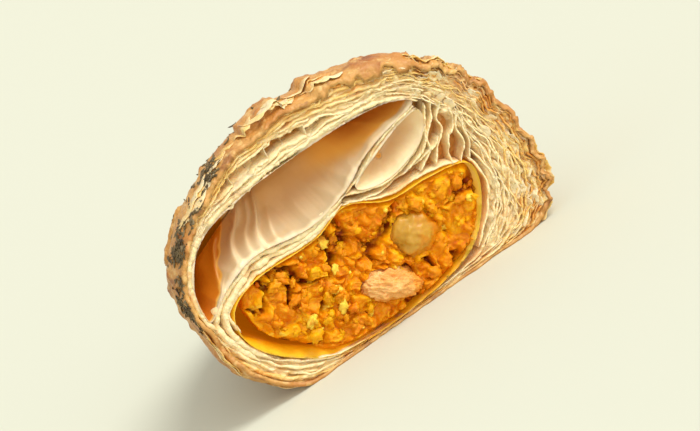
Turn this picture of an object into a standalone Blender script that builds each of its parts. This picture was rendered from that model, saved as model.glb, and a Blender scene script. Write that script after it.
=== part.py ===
"""Cut half of a chicken puff: a flaky puff pastry turnover with a spiced filling.

The cut face is at the front (-Y) and the closed corner of the turnover at the back (+Y). The folded side
of the pastry is at -X, the open, layered edge at +X, and the flat base stands on Z = 0. Lengths below are
in millimetres and are turned into metres as the vertices are placed.
"""

import math
import random

import bmesh
import bpy
from mathutils import Matrix, Vector, noise

MM = 0.001

# The half as a whole
HALF_LENGTH = 62.0
CUT_Y = -30.9
SECTION_LEFT = -36.3
SECTION_RIGHT = 36.4
TIP_LEFT = -21.0
TIP_RIGHT = -11.0
TIP_HEIGHT_SHARE = 0.26
BULGE_SIDE = 1.3
BULGE_TOP_SHARE = 0.045
BULGE_DEPTH = 16.0
TIP_LIFT = 1.4
LIFT_START = 46.0
BASE_FLAT = 0.25
# Powers of the taper: the higher, the later the sides and the top draw in
LEFT_TAPER = 2.2
RIGHT_TAPER = 1.45
HEIGHT_TAPER = 1.7

# The cut section, as (x, z) points joined by a smooth closed curve, each with the samples to its next point
CRUST_OUTLINE = [
    ((-24.0, -0.2), 4),
    ((-33.0, 8.2), 4),
    ((-36.3, 20.5), 4),
    ((-34.0, 32.0), 4),
    ((-26.0, 40.6), 5),
    ((-13.0, 46.0), 5),
    ((0.0, 47.4), 5),
    ((14.0, 44.0), 6),
    ((27.0, 39.3), 8),
    ((34.2, 29.5), 9),
    ((36.4, 15.0), 8),
    ((34.4, 4.6), 5),
    ((27.0, -0.3), 5),
    ((10.0, -0.4), 5),
    ((-8.0, -0.4), 5),
]
# The inner limit of the layered rim: one point for each point of the crust outline
CORE_OUTLINE = [
    (-20.0, 1.5),
    (-29.6, 7.4),
    (-34.5, 20.8),
    (-31.8, 32.6),
    (-24.2, 37.9),
    (-12.0, 39.4),
    (0.0, 39.5),
    (13.0, 38.8),
    (22.0, 34.6),
    (25.8, 27.0),
    (26.2, 17.5),
    (23.4, 8.6),
    (17.4, 3.2),
    (9.0, 1.4),
    (-8.0, 1.1),
]
CHAMBER_OUTLINE = [
    (-14.5, 1.8),
    (-24.0, 6.0),
    (-30.2, 13.2),
    (-29.6, 20.6),
    (-22.5, 23.6),
    (-9.5, 23.4),
    (-0.8, 25.4),
    (7.0, 21.4),
    (15.0, 20.8),
    (23.4, 18.8),
    (22.9, 12.6),
    (16.0, 4.5),
    (4.0, 1.8),
]
FILLING_OUTLINE = [
    (-14.5, 2.3),
    (-22.4, 7.0),
    (-26.8, 14.0),
    (-28.0, 20.2),
    (-22.3, 23.0),
    (-9.5, 22.8),
    (-0.8, 24.7),
    (6.9, 20.8),
    (14.8, 20.2),
    (22.8, 18.3),
    (22.3, 12.8),
    (15.7, 5.0),
    (4.0, 2.3),
]
LARGE_POCKET = [
    (20.6, 34.6),
    (13.0, 37.4),
    (-2.0, 38.1),
    (-15.5, 37.8),
    (-26.4, 35.0),
    (-32.4, 28.4),
    (-33.1, 22.4),
    (-28.6, 25.2),
    (-20.1, 27.6),
    (-9.0, 26.0),
    (0.6, 27.9),
    (9.0, 31.9),
]
SMALL_POCKET = [
    (20.2, 32.6),
    (12.0, 30.5),
    (3.2, 26.9),
    (8.6, 25.0),
    (16.2, 26.9),
    (20.4, 29.8),
]
CRESCENT = [(5.6, 23.6), (11.0, 22.7), (16.9, 22.7), (11.4, 24.2)]
RIM_SLIT = [(-18.6, 40.3), (-8.0, 39.9), (2.6, 40.4), (-7.0, 41.9)]
EDGE_CELLS = [
    [(22.5, 29.0), (22.7, 26.9), (20.2, 24.9), (20.1, 27.0)],
    [(25.3, 25.6), (24.9, 22.5), (22.2, 20.7), (22.5, 23.6)],
    [(28.4, 30.8), (30.4, 25.6), (29.2, 19.8), (27.2, 25.0)],
]
# The large pocket's floor climbs towards this line under its roof, soon in the middle and later at the ends.
# Its near end lies left of a slanting line, which leans by so many millimetres for each one of height.
POCKET_SPINE = [(-28.5, 30.4), (-15.0, 35.4), (0.0, 36.6), (14.0, 35.6)]
POCKET_LEAN = 0.7
POCKET_NEAR_END = -45.5
POCKET_NEAR_REACH = 3.5
POCKET_FAR_END = 4.0
POCKET_FAR_REACH = 12.0
POCKET_FAR_SHARE = 0.5
POCKET_MIDDLE_DEPTH = 9.5
POCKET_END_DEPTH = 16.0
POCKET_CLIMB = 2.0
CHAMBER_DEPTH = 46.0
SMALL_POCKET_DEPTH = 6.5
SLIT_DEPTH = 7.0
CELL_DEPTH = 5.0
# A hollow starts this far ahead of the cut face, and its far end has this share of its width
HOLLOW_LEAD = 4.0
END_SHARE = 0.28
END_ROUNDING = 2.4

# Points closer than this are joined after the cuts
MERGE = 0.001

# Relief
RIM_RINGS = 6
GROOVE_DEPTH = 1.5
CORE_DEPTH = 0.9
BLISTER = 1.0
BLISTER_SCALE = 0.085
FLANK_FIRST_POINT = 8
FLANK_LAST_POINT = 12
FLANK_LAYERS = 7.0
FLANK_RELIEF = 0.8
FLANK_TOP = 38.0
CRIMP_POINT = 7.45
CRIMP_HALF_WIDTH = 0.27
CRIMP_PITCH = 10.4
CRIMP_FIRST = 4.0
CRIMP_LAST = 52.0
CRIMP_DEPTH = 2.1
CRIMP_BAR_SHARE = 0.3
# The body's rings, a little closer together at the cut, and the blunt corner that closes them
BODY_RINGS = 21
RING_SPREAD = 0.92
CORNER_SHARE = 0.62
CORNER_REACH = 1.8

# Flakes that stand up from the top crust: outline position and depth of the middle, half sizes and height
FLAKES = [
    ((7.15, 5.5), (0.7, 5.5), 1.6),
    ((5.65, 5.5), (0.3, 3.5), 1.1),
    ((5.1, 22.0), (0.5, 7.0), 0.8),
    ((3.6, 13.0), (0.45, 4.0), 0.7),
    ((6.6, 31.0), (0.5, 8.0), 0.9),
    ((4.4, 38.0), (0.4, 6.0), 0.6),
]

# The crumbly lumps of minced filling on the cut face
LUMP_COUNT = 26
LUMP_TRIES = 1500
LUMP_SMALL = 1.3
LUMP_LARGE = 3.4
LUMP_SPACING = 0.7
LUMP_SET_BACK = 1.5
LUMP_EDGE_CLEAR = 0.35
LUMP_REACH = 1.1
LUMP_SEED = 7
FILLING_FACE = 1.3
FILLING_LENGTH = 42.2
FILLING_PLAY = 0.02
PIECE_MARGIN = 1.2

# The pieces that show in the filling: name, centre (x, depth, z), half sizes, turn in degrees, lump pattern
PIECES = [
    ("potato_piece", (7.8, 3.6, 12.8), (5.0, 4.4, 4.7), 20.0, 3.0, "boiled_potato"),
    ("chicken_piece", (-1.7, 2.4, 7.5), (5.8, 4.2, 3.1), -33.0, 8.0, "chicken_meat"),
]
PIECE_BUMP = 0.1
PIECE_BOXINESS = 0.16
SOCKET_CLEAR = 0.35

# Dried herbs on the top crust
HERB_COUNT = 44
HERB_LENGTH = 1.7
HERB_WIDTH = 0.75
HERB_THICK = 0.42
HERB_SINK = 0.1
HERB_LEAN = 0.25
HERB_SEED = 11

MATERIALS = {
    "baked_pastry": ((0.70, 0.38, 0.12), 0.55),
    "masala_filling": ((0.80, 0.30, 0.02), 0.45),
    "boiled_potato": ((0.66, 0.52, 0.18), 0.35),
    "chicken_meat": ((0.86, 0.55, 0.30), 0.45),
}


def smooth_step(t):
    """Eases from 0 to 1."""
    t = min(1.0, max(0.0, t))
    return t * t * (3.0 - 2.0 * t)


def curve_point(points, position):
    """A point of the closed smooth curve through the points, at a position counted in points."""
    count = len(points)
    start = math.floor(position)
    t = position - start
    a, b, c, d = (Vector(points[(start + k) % count]) for k in (-1, 0, 1, 2))
    bend = (2 * a - 5 * b + 4 * c - d) * t * t + (3 * b - a - 3 * c + d) * t ** 3
    return 0.5 * (2 * b + (c - a) * t + bend)


def crust_positions():
    """Positions along the crust outline, closest together on the layered edge."""
    positions = []
    for index, (_, samples) in enumerate(CRUST_OUTLINE):
        positions += [index + k / samples for k in range(samples)]
    return positions


def left_edge(depth):
    """X of the folded side at a depth behind the cut."""
    share = max(0.0, depth / HALF_LENGTH)
    bulge = BULGE_SIDE * math.sin(math.pi * min(1.0, max(0.0, depth) / BULGE_DEPTH))
    return SECTION_LEFT - bulge + (TIP_LEFT - SECTION_LEFT) * share ** LEFT_TAPER


def right_edge(depth):
    """X of the layered edge at a depth behind the cut."""
    share = max(0.0, depth / HALF_LENGTH)
    bulge = BULGE_SIDE * math.sin(math.pi * min(1.0, max(0.0, depth) / BULGE_DEPTH))
    return SECTION_RIGHT + bulge + (TIP_RIGHT - SECTION_RIGHT) * share ** RIGHT_TAPER


def height_share(depth):
    """Height at a depth behind the cut, as a share of the height at the cut."""
    share = max(0.0, depth / HALF_LENGTH)
    bulge = BULGE_TOP_SHARE * math.sin(math.pi * min(1.0, max(0.0, depth) / BULGE_DEPTH))
    return 1.0 + bulge - (1.0 - TIP_HEIGHT_SHARE) * share ** HEIGHT_TAPER


def base_lift(depth):
    """How far the corner's underside stands off the table."""
    return TIP_LIFT * smooth_step((depth - LIFT_START) / (HALF_LENGTH - LIFT_START))


def place(x, z, depth):
    """A section point moved to a depth behind the cut, drawn in with the taper of the turnover."""
    across = (x - SECTION_LEFT) / (SECTION_RIGHT - SECTION_LEFT)
    left, right = left_edge(depth), right_edge(depth)
    return Vector((left + across * (right - left), CUT_Y + depth, base_lift(depth) + z * height_share(depth)))


def flank_share(position):
    """1 on the layered edge of the outline, 0 elsewhere."""
    enter = smooth_step((position - FLANK_FIRST_POINT + 0.5) / 0.6)
    leave = smooth_step((FLANK_LAST_POINT + 0.1 - position) / 0.6)
    return enter * leave


def crimp_pit(position, depth):
    """Depth of the crimped row at a place on the top crust: pits with bars of dough between them."""
    if not CRIMP_FIRST < depth < CRIMP_LAST:
        return 0.0
    phase = ((depth - CRIMP_FIRST) / CRIMP_PITCH) % 1.0
    if phase < CRIMP_BAR_SHARE:
        return 0.0
    return CRIMP_DEPTH * math.exp(-(((position - CRIMP_POINT) / CRIMP_HALF_WIDTH) ** 2))


def flake_lift(position, depth):
    """Height of the raised flakes at a place on the top crust."""
    lift = 0.0
    for (middle, middle_depth), (half, half_depth), height in FLAKES:
        across = max(abs(position - middle) / half, abs(depth - middle_depth) / half_depth)
        lift = max(lift, height * smooth_step((1.15 - across) / 0.3))
    return lift


def crust_relief(position, x, z, depth):
    """How far the crust stands out of its smooth outline, along the outline's normal."""
    if z < BASE_FLAT:
        return 0.0
    off_base = smooth_step((z - BASE_FLAT) / 4.0)
    flank = flank_share(position)
    wander = noise.noise(Vector((x * 0.05, depth * 0.06, z * 0.04)))
    layer = FLANK_LAYERS * (z / FLANK_TOP) + 1.2 * wander
    ridge = abs(2.0 * (layer % 1.0) - 1.0) - 0.5
    blister = noise.fractal(Vector((x, depth, z)) * BLISTER_SCALE, 0.9, 2.1, 3)
    lift = flank * FLANK_RELIEF * 1.6 * ridge + (1.0 - flank) * BLISTER * blister
    return off_base * lift + flake_lift(position, depth) - crimp_pit(position, depth)


def outline_normal(points, position):
    """Unit normal of a closed curve that runs clockwise seen from the front, pointing outwards."""
    step = 0.02
    along = curve_point(points, position + step) - curve_point(points, position - step)
    return Vector((-along.y, along.x)).normalized()


def crust_ring(depth):
    """The crust's outer surface at one depth."""
    points = [p for p, _ in CRUST_OUTLINE]
    ring = []
    for position in crust_positions():
        flat = curve_point(points, position)
        normal = outline_normal(points, position)
        flat += normal * crust_relief(position, flat.x, flat.y, depth)
        ring.append(place(flat.x, max(0.0, flat.y), depth))
    return ring


def rim_ring(step):
    """A ring of the layered rim on the cut face, from 0 at the crust to RIM_RINGS at the core."""
    points = [p for p, _ in CRUST_OUTLINE]
    share = step / RIM_RINGS
    ring = []
    for position, outer in zip(crust_positions(), crust_ring(0.0)):
        inner = curve_point(CORE_OUTLINE, position)
        wall = (curve_point(points, position) - inner).length
        groove = GROOVE_DEPTH if step % 2 else 0.0
        rough = noise.noise(Vector((position * 1.7, step * 3.1, 0.5))) * 0.7
        back = min(1.0, wall / 5.0) * (groove + rough)
        if step == RIM_RINGS:
            back = CORE_DEPTH
        spot = outer.lerp(Vector((inner.x, outer.y, inner.y)), share)
        spot.y = CUT_Y + back
        ring.append(spot)
    return ring


def cut_ring(outline, depth, per_point, shrink=1.0):
    """A ring of a hollow or of the filling at one depth, drawn in about its middle."""
    middle = sum((Vector(p) for p in outline), Vector((0.0, 0.0))) / len(outline)
    ring = []
    for k in range(len(outline) * per_point):
        flat = middle + (curve_point(outline, k / per_point) - middle) * shrink
        ring.append(place(flat.x, flat.y, depth))
    return ring


def end_shrink(share):
    """How far a hollow's width is drawn in at a share of its depth."""
    return END_SHARE + (1.0 - END_SHARE) * math.sqrt(max(0.0, 1.0 - share ** END_ROUNDING))


def spine_height(x):
    """Height of the line under the large pocket's roof."""
    for (x0, z0), (x1, z1) in zip(POCKET_SPINE, POCKET_SPINE[1:]):
        if x <= x1:
            return z0 + (z1 - z0) * (x - x0) / (x1 - x0)
    return POCKET_SPINE[-1][1]


def large_pocket_ring(share, per_point):
    """A ring of the large pocket: its floor climbs to the spine, and its ends reach further back."""
    ring = []
    for k in range(len(LARGE_POCKET) * per_point):
        flat = curve_point(LARGE_POCKET, k / per_point)
        spine_x = min(POCKET_SPINE[-1][0], max(POCKET_SPINE[0][0], flat.x))
        spine = Vector((spine_x, spine_height(spine_x)))
        near_end = smooth_step((POCKET_NEAR_END - flat.x + POCKET_LEAN * flat.y) / POCKET_NEAR_REACH)
        far_end = POCKET_FAR_SHARE * smooth_step((flat.x - POCKET_FAR_END) / POCKET_FAR_REACH)
        reach = POCKET_MIDDLE_DEPTH + (POCKET_END_DEPTH - POCKET_MIDDLE_DEPTH) * max(near_end, far_end)
        flat = spine + (flat - spine) * (1.0 - (1.0 - END_SHARE) * share ** POCKET_CLIMB)
        ring.append(place(flat.x, flat.y, reach * share))
    return ring


def loft(name, rings):
    """A closed solid through rings of equal count, with a flat face over the first and the last."""
    bm = bmesh.new()
    rows = [[bm.verts.new(p * MM) for p in ring] for ring in rings]
    count = len(rows[0])
    for near, far in zip(rows, rows[1:]):
        for k in range(count):
            after = (k + 1) % count
            bm.faces.new((near[k], near[after], far[after], far[k]))
    bm.faces.new(rows[0])
    bm.faces.new(rows[-1])
    bmesh.ops.recalc_face_normals(bm, faces=bm.faces)
    bmesh.ops.triangulate(bm, faces=bm.faces)
    mesh = bpy.data.meshes.new(name)
    bm.to_mesh(mesh)
    bm.free()
    return bpy.data.objects.new(name, mesh)


def shade(obj, slot):
    """Gives an object its material and smooth faces with sharp creases kept."""
    colour, roughness = MATERIALS[slot]
    material = bpy.data.materials.get(slot) or bpy.data.materials.new(slot)
    material.use_nodes = True
    surface = material.node_tree.nodes["Principled BSDF"]
    surface.inputs["Base Color"].default_value = (*colour, 1.0)
    surface.inputs["Roughness"].default_value = roughness
    surface.inputs["Metallic"].default_value = 0.0
    obj.data.materials.clear()
    obj.data.materials.append(material)
    obj.data.shade_smooth()
    obj.data.set_sharp_from_angle(angle=math.radians(50.0))


def as_cutter(obj, collection):
    """Puts a cutting shape in its own collection, out of the render."""
    collection.objects.link(obj)
    obj.hide_render = True
    obj.display_type = "WIRE"


def apply_modifiers(obj):
    """Keeps the evaluated mesh and drops the modifiers."""
    depsgraph = bpy.context.evaluated_depsgraph_get()
    mesh = bpy.data.meshes.new_from_object(obj.evaluated_get(depsgraph))
    obj.modifiers.clear()
    obj.data = mesh


def boolean(obj, operation, collection, solver="MANIFOLD"):
    """Cuts or joins everything in a collection, applies it and removes the collection's objects."""
    modifier = obj.modifiers.new(operation.title(), "BOOLEAN")
    modifier.operation = operation
    modifier.operand_type = "COLLECTION"
    modifier.collection = collection
    modifier.solver = solver
    bpy.context.view_layer.update()
    apply_modifiers(obj)
    for used in list(collection.objects):
        bpy.data.objects.remove(used)


def tidy(obj):
    """Merges what a Boolean left coincident and keeps the one large body."""
    bm = bmesh.new()
    bm.from_mesh(obj.data)
    bmesh.ops.remove_doubles(bm, verts=bm.verts, dist=MERGE * MM)
    bmesh.ops.triangulate(bm, faces=bm.faces)
    bodies = []
    left = set(bm.verts)
    while left:
        body, front = set(), [left.pop()]
        while front:
            vert = front.pop()
            body.add(vert)
            for edge in vert.link_edges:
                other = edge.other_vert(vert)
                if other in left:
                    left.discard(other)
                    front.append(other)
        bodies.append(body)
    bodies.sort(key=len)
    for scrap in bodies[:-1]:
        bmesh.ops.delete(bm, geom=list(scrap), context="VERTS")
    bm.to_mesh(obj.data)
    bm.free()


def pastry_body():
    """The turnover's outer form, tapered to its corner, with the layered rim on its cut face."""
    rings = [rim_ring(step) for step in range(RIM_RINGS, 0, -1)]
    rings += [crust_ring(HALF_LENGTH * (k / BODY_RINGS) ** RING_SPREAD) for k in range(BODY_RINGS + 1)]
    last = rings[-1]
    middle = sum(last, Vector()) / len(last)
    rings.append([middle + (p - middle) * CORNER_SHARE + Vector((0.0, CORNER_REACH, 0.0)) for p in last])
    return loft("pastry", rings)


def hollow(name, outline, depth, per_point, steps):
    """A cutter for a hollow that starts ahead of the cut face and narrows with depth."""
    rings = [cut_ring(outline, -HOLLOW_LEAD, per_point)]
    for k in range(steps + 1):
        rings.append(cut_ring(outline, depth * k / steps, per_point, end_shrink(k / steps)))
    return loft(name, rings)


def large_pocket(name, per_point, steps):
    """The cutter for the large air pocket."""
    rings = [cut_ring(LARGE_POCKET, -HOLLOW_LEAD, per_point)]
    rings += [large_pocket_ring(k / steps, per_point) for k in range(steps + 1)]
    return loft(name, rings)


def cut_hollows(pastry, cutters):
    """Opens the filling's chamber, the air pockets and the gaps between the layers."""
    shapes = [
        hollow("chamber_cutter", CHAMBER_OUTLINE, CHAMBER_DEPTH, 3, 8),
        large_pocket("large_pocket_cutter", 3, 7),
        hollow("small_pocket_cutter", SMALL_POCKET, SMALL_POCKET_DEPTH, 4, 4),
        hollow("crescent_cutter", CRESCENT, SLIT_DEPTH, 4, 2),
        hollow("rim_slit_cutter", RIM_SLIT, SLIT_DEPTH, 4, 2),
    ]
    shapes += [hollow(f"cell_cutter_{k}", cell, CELL_DEPTH, 2, 2) for k, cell in enumerate(EDGE_CELLS)]
    for shape in shapes:
        as_cutter(shape, cutters)
    boolean(pastry, "DIFFERENCE", cutters)


def herb_place(draw):
    """A spot on the top crust: most herbs lie along the ridge by the cut, the rest are strewn behind it."""
    if draw.random() < 0.55:
        position = draw.uniform(2.7, 4.7)
        depth = 2.0 + 15.0 * draw.random() ** 1.3
    else:
        position = draw.gauss(5.0, 0.8)
        depth = draw.uniform(4.0, 46.0)
    return position, depth


def herb_flake(index, draw):
    """One dried leaf bit, lying on the crust and sunk a little into it."""
    points = [p for p, _ in CRUST_OUTLINE]
    position, depth = herb_place(draw)
    flat = curve_point(points, position)
    normal = outline_normal(points, position)
    flat += normal * (crust_relief(position, flat.x, flat.y, depth) + HERB_THICK * 0.5 - HERB_SINK)
    spot = place(flat.x, flat.y, depth)
    bm = bmesh.new()
    bmesh.ops.create_icosphere(bm, subdivisions=1, radius=1.0)
    length = HERB_LENGTH * draw.uniform(0.7, 1.25)
    size = Matrix.Diagonal((length * MM, HERB_WIDTH * MM, HERB_THICK * MM, 1.0))
    turn = Matrix.Rotation(draw.uniform(0.0, math.pi), 4, "Z")
    lean = Matrix.Rotation(draw.uniform(-HERB_LEAN, HERB_LEAN), 4, "Y")
    upright = Vector((normal.x, 0.0, normal.y)).to_track_quat("Z", "Y").to_matrix().to_4x4()
    move = Matrix.Translation(spot * MM)
    bmesh.ops.transform(bm, matrix=move @ upright @ turn @ lean @ size, verts=bm.verts)
    mesh = bpy.data.meshes.new(f"herb_{index}")
    bm.to_mesh(mesh)
    bm.free()
    return bpy.data.objects.new(f"herb_{index}", mesh)


def fuse_herbs(pastry, herbs):
    """Joins the herbs to the crust they lie on."""
    draw = random.Random(HERB_SEED)
    for index in range(HERB_COUNT):
        as_cutter(herb_flake(index, draw), herbs)
    boolean(pastry, "UNION", herbs)


def edge_distance(spot, outline):
    """How far a section point lies inside an outline of straight edges, negative outside it."""
    inside = False
    nearest = math.inf
    for a, b in zip(outline, outline[1:] + outline[:1]):
        a, b = Vector(a), Vector(b)
        share = min(1.0, max(0.0, (spot - a).dot(b - a) / (b - a).length_squared))
        nearest = min(nearest, (spot - a.lerp(b, share)).length)
        if (a.y > spot.y) != (b.y > spot.y) and spot.x < a.x + (spot.y - a.y) / (b.y - a.y) * (b.x - a.x):
            inside = not inside
    return nearest if inside else -nearest


def in_piece(spot):
    """True where a potato or chicken piece shows at the cut."""
    for _, centre, half, turn, _, _ in PIECES:
        away = Matrix.Rotation(math.radians(-turn), 2) @ (spot - Vector((centre[0], centre[2])))
        if (away.x / half[0]) ** 2 + (away.y / half[2]) ** 2 < PIECE_MARGIN:
            return True
    return False


def lump(index, spot, radius, draw):
    """One lump of minced filling, half sunk in the face."""
    bm = bmesh.new()
    bmesh.ops.create_icosphere(bm, subdivisions=2, radius=1.0)
    for vert in bm.verts:
        vert.co *= 1.0 + 0.16 * noise.noise(vert.co * 1.7 + Vector((index * 3.3, 0.0, 0.0)))
    half = (radius, radius * draw.uniform(0.75, 1.0), radius * draw.uniform(0.7, 1.0))
    size = Matrix.Diagonal((*half, 1.0))
    turn = Matrix.Rotation(draw.uniform(0.0, math.pi), 4, "Y")
    depth = FILLING_FACE + draw.uniform(-0.35, 0.55) * LUMP_SET_BACK
    move = Matrix.Translation((spot.x, CUT_Y + depth, spot.y))
    bmesh.ops.transform(bm, matrix=Matrix.Scale(MM, 4) @ move @ turn @ size, verts=bm.verts)
    mesh = bpy.data.meshes.new(f"lump_{index}")
    bm.to_mesh(mesh)
    bm.free()
    return bpy.data.objects.new(f"lump_{index}", mesh)


def lump_places(draw):
    """Where the lumps lie, largest first, inside the filling's outline and clear of the larger pieces."""
    xs = [x for x, _ in FILLING_OUTLINE]
    zs = [z for _, z in FILLING_OUTLINE]
    placed = []
    for attempt in range(LUMP_TRIES):
        share = 1.0 - attempt / LUMP_TRIES
        radius = LUMP_SMALL + (LUMP_LARGE - LUMP_SMALL) * share * draw.uniform(0.6, 1.0)
        spot = Vector((draw.uniform(min(xs), max(xs)), draw.uniform(min(zs), max(zs))))
        free = all((spot - other).length > LUMP_SPACING * (radius + size) for other, size in placed)
        inside = edge_distance(spot, FILLING_OUTLINE) > radius * LUMP_REACH + LUMP_EDGE_CLEAR
        if free and inside and not in_piece(spot):
            placed.append((spot, radius))
        if len(placed) == LUMP_COUNT:
            break
    return placed


def filling_body(parts, lumps):
    """The minced filling: it runs back through the turnover, and its cut face is crumbly."""
    per_point = 3
    rings = []
    steps = 8
    for k in range(steps + 1):
        share = k / steps
        shrink = end_shrink(share) * (1.0 - FILLING_PLAY * share)
        rings.append(cut_ring(FILLING_OUTLINE, FILLING_FACE + FILLING_LENGTH * share, per_point, shrink))
    filling = loft("filling", rings)
    parts.objects.link(filling)
    draw = random.Random(LUMP_SEED)
    for index, (spot, radius) in enumerate(lump_places(draw)):
        as_cutter(lump(index, spot, radius, draw), lumps)
    boolean(filling, "UNION", lumps)
    return filling


def chunk(name, centre, half, turn, pattern, growth=0.0):
    """A soft-cornered piece of food, a little lumpy. Growth makes the larger copy that cuts its socket."""
    bm = bmesh.new()
    bmesh.ops.create_icosphere(bm, subdivisions=3, radius=1.0)
    tilt = Matrix.Rotation(math.radians(-turn), 3, "Y")
    for vert in bm.verts:
        way = vert.co.normalized()
        boxy = 1.0 / max(abs(c) for c in way) ** PIECE_BOXINESS
        lumpy = 1.0 + PIECE_BUMP * noise.noise(way * 1.6 + Vector((pattern, 0.0, 0.0)))
        spot = Vector([c * h * boxy * lumpy for c, h in zip(way, half)]) + way * growth
        vert.co = (Vector(centre) + tilt @ spot + Vector((0.0, CUT_Y, 0.0))) * MM
    mesh = bpy.data.meshes.new(name)
    bm.to_mesh(mesh)
    bm.free()
    return bpy.data.objects.new(name, mesh)


def build():
    """Clears the file and builds every piece."""
    for obj in list(bpy.data.objects):
        bpy.data.objects.remove(obj)
    scene = bpy.context.scene.collection
    parts = bpy.data.collections.new("chicken_puff_half")
    cutters = bpy.data.collections.new("cutters")
    herbs = bpy.data.collections.new("herbs")
    lumps = bpy.data.collections.new("lumps")
    for collection in (parts, cutters, herbs, lumps):
        scene.children.link(collection)

    pastry = pastry_body()
    parts.objects.link(pastry)
    cut_hollows(pastry, cutters)
    fuse_herbs(pastry, herbs)
    tidy(pastry)
    shade(pastry, "baked_pastry")

    filling = filling_body(parts, lumps)
    for name, centre, half, turn, pattern, _ in PIECES:
        as_cutter(chunk(name + "_socket", centre, half, turn, pattern, SOCKET_CLEAR), cutters)
    boolean(filling, "DIFFERENCE", cutters)
    tidy(filling)
    shade(filling, "masala_filling")
    for name, centre, half, turn, pattern, slot in PIECES:
        piece = chunk(name, centre, half, turn, pattern)
        parts.objects.link(piece)
        shade(piece, slot)


build()
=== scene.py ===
# %% [markdown]
# # The cut half of a chicken puff
#
# A chicken puff is a puff pastry turnover round a spiced mince filling. In the oven the dough's many thin
# layers part and lift, so a cut shows a rim of flaky sheets, wide air pockets under a golden crust, and the
# orange filling below them. This lesson models the cut half sheet by sheet round a imported CAD frame.
#
# The first cell loads that frame. It has the real size, in metres, and every new piece stands for one of its
# solids. The box of the solids is kept.

# %% Load the frame
import bisect
import math
import random

import bmesh
import bpy
from mathutils import Matrix, Quaternion, Vector, noise


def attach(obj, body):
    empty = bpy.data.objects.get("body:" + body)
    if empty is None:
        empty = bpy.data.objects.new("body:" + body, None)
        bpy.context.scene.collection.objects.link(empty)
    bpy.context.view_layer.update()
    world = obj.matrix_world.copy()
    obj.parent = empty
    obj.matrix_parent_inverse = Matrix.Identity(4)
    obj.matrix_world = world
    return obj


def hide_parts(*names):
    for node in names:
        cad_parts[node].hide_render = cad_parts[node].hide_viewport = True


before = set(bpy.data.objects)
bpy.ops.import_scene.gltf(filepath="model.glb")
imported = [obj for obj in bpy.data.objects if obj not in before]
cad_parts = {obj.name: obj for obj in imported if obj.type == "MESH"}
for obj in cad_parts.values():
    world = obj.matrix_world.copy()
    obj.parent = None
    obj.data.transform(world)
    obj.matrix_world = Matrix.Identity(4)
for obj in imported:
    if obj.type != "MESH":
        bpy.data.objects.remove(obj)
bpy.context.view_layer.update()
print("solids:", ", ".join(sorted(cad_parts)))

# %% [markdown]
# ## Sizes
#
# The lengths below are in millimetres and are the same driving sizes as the solids have. The cut face looks
# towards -Y, the fold of the turnover is at -X, and its open, layered edge at +X. A place in the food is a
# point (x, z) of the cut section and a depth behind the cut. Going deeper, the section shrinks to a corner.

# %% Sizes and taper
MM = 0.001
HALF_LENGTH = 62.0
CUT_Y = -30.9
SECTION_LEFT = -36.3
SECTION_RIGHT = 36.4
TIP_LEFT = -21.0
TIP_RIGHT = -11.0
TIP_HEIGHT_SHARE = 0.26
BULGE_SIDE = 1.3
BULGE_TOP_SHARE = 0.045
BULGE_DEPTH = 16.0
TIP_LIFT = 1.4
LIFT_START = 46.0
LEFT_TAPER = 2.2
RIGHT_TAPER = 1.45
TOP_TAPER = 1.7


def clamp(value, low=0.0, high=1.0):
    """The value, held between two limits."""
    return min(high, max(low, value))


def smooth_step(t):
    """Eases from 0 to 1."""
    t = clamp(t)
    return t * t * (3.0 - 2.0 * t)


def plateau(value, start, end, ease):
    """0 up to the start and from the end on, 1 between them, with eased flanks."""
    return smooth_step((value - start) / ease) * smooth_step((end - value) / ease)


def place(x, z, depth):
    """A section point moved to a depth behind the cut, drawn in with the taper of the turnover."""
    share = max(0.0, depth / HALF_LENGTH)
    bulge = math.sin(math.pi * clamp(depth / BULGE_DEPTH))
    left = SECTION_LEFT - BULGE_SIDE * bulge + (TIP_LEFT - SECTION_LEFT) * share ** LEFT_TAPER
    right = SECTION_RIGHT + BULGE_SIDE * bulge + (TIP_RIGHT - SECTION_RIGHT) * share ** RIGHT_TAPER
    high = 1.0 + BULGE_TOP_SHARE * bulge - (1.0 - TIP_HEIGHT_SHARE) * share ** TOP_TAPER
    lift = TIP_LIFT * smooth_step((depth - LIFT_START) / (HALF_LENGTH - LIFT_START))
    across = (x - SECTION_LEFT) / (SECTION_RIGHT - SECTION_LEFT)
    return Vector((left + across * (right - left), CUT_Y + depth, lift + z * high))


# %% [markdown]
# ## Outlines of the cut
#
# Each outline is a handful of points joined by a smooth closed curve. A lookup turns a share of the way
# round into a point, its outward normal and its place among the control points. A weight makes some
# stretches of an outline take more of the columns of a mesh, such as the layered edge.

# %% Outlines
CRUST_POINTS = [
    (-24.0, -0.2), (-33.0, 8.2), (-36.3, 20.5), (-34.0, 32.0), (-26.0, 40.6), (-13.0, 46.0), (0.0, 47.4),
    (14.0, 44.0), (27.0, 39.3), (34.2, 29.5), (36.4, 15.0), (34.4, 4.6), (27.0, -0.3), (10.0, -0.4),
    (-8.0, -0.4),
]
CORE_POINTS = [
    (-19.5, 3.0), (-27.4, 8.6), (-34.2, 20.8), (-31.8, 32.6), (-24.2, 37.9), (-12.0, 39.4), (0.0, 39.5),
    (13.0, 38.8), (22.0, 34.6), (25.8, 27.0), (26.2, 17.5), (23.4, 8.6), (17.4, 3.2), (9.0, 1.4),
    (-8.0, 1.1),
]
CHAMBER_POINTS = [
    (-14.5, 1.4), (-24.0, 6.0), (-30.2, 13.2), (-29.6, 20.6), (-22.5, 23.6), (-9.5, 23.4), (-0.8, 25.4),
    (7.0, 21.4), (15.0, 20.8), (23.4, 18.8), (22.9, 12.6), (16.0, 4.5), (4.0, 1.5),
]
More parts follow.
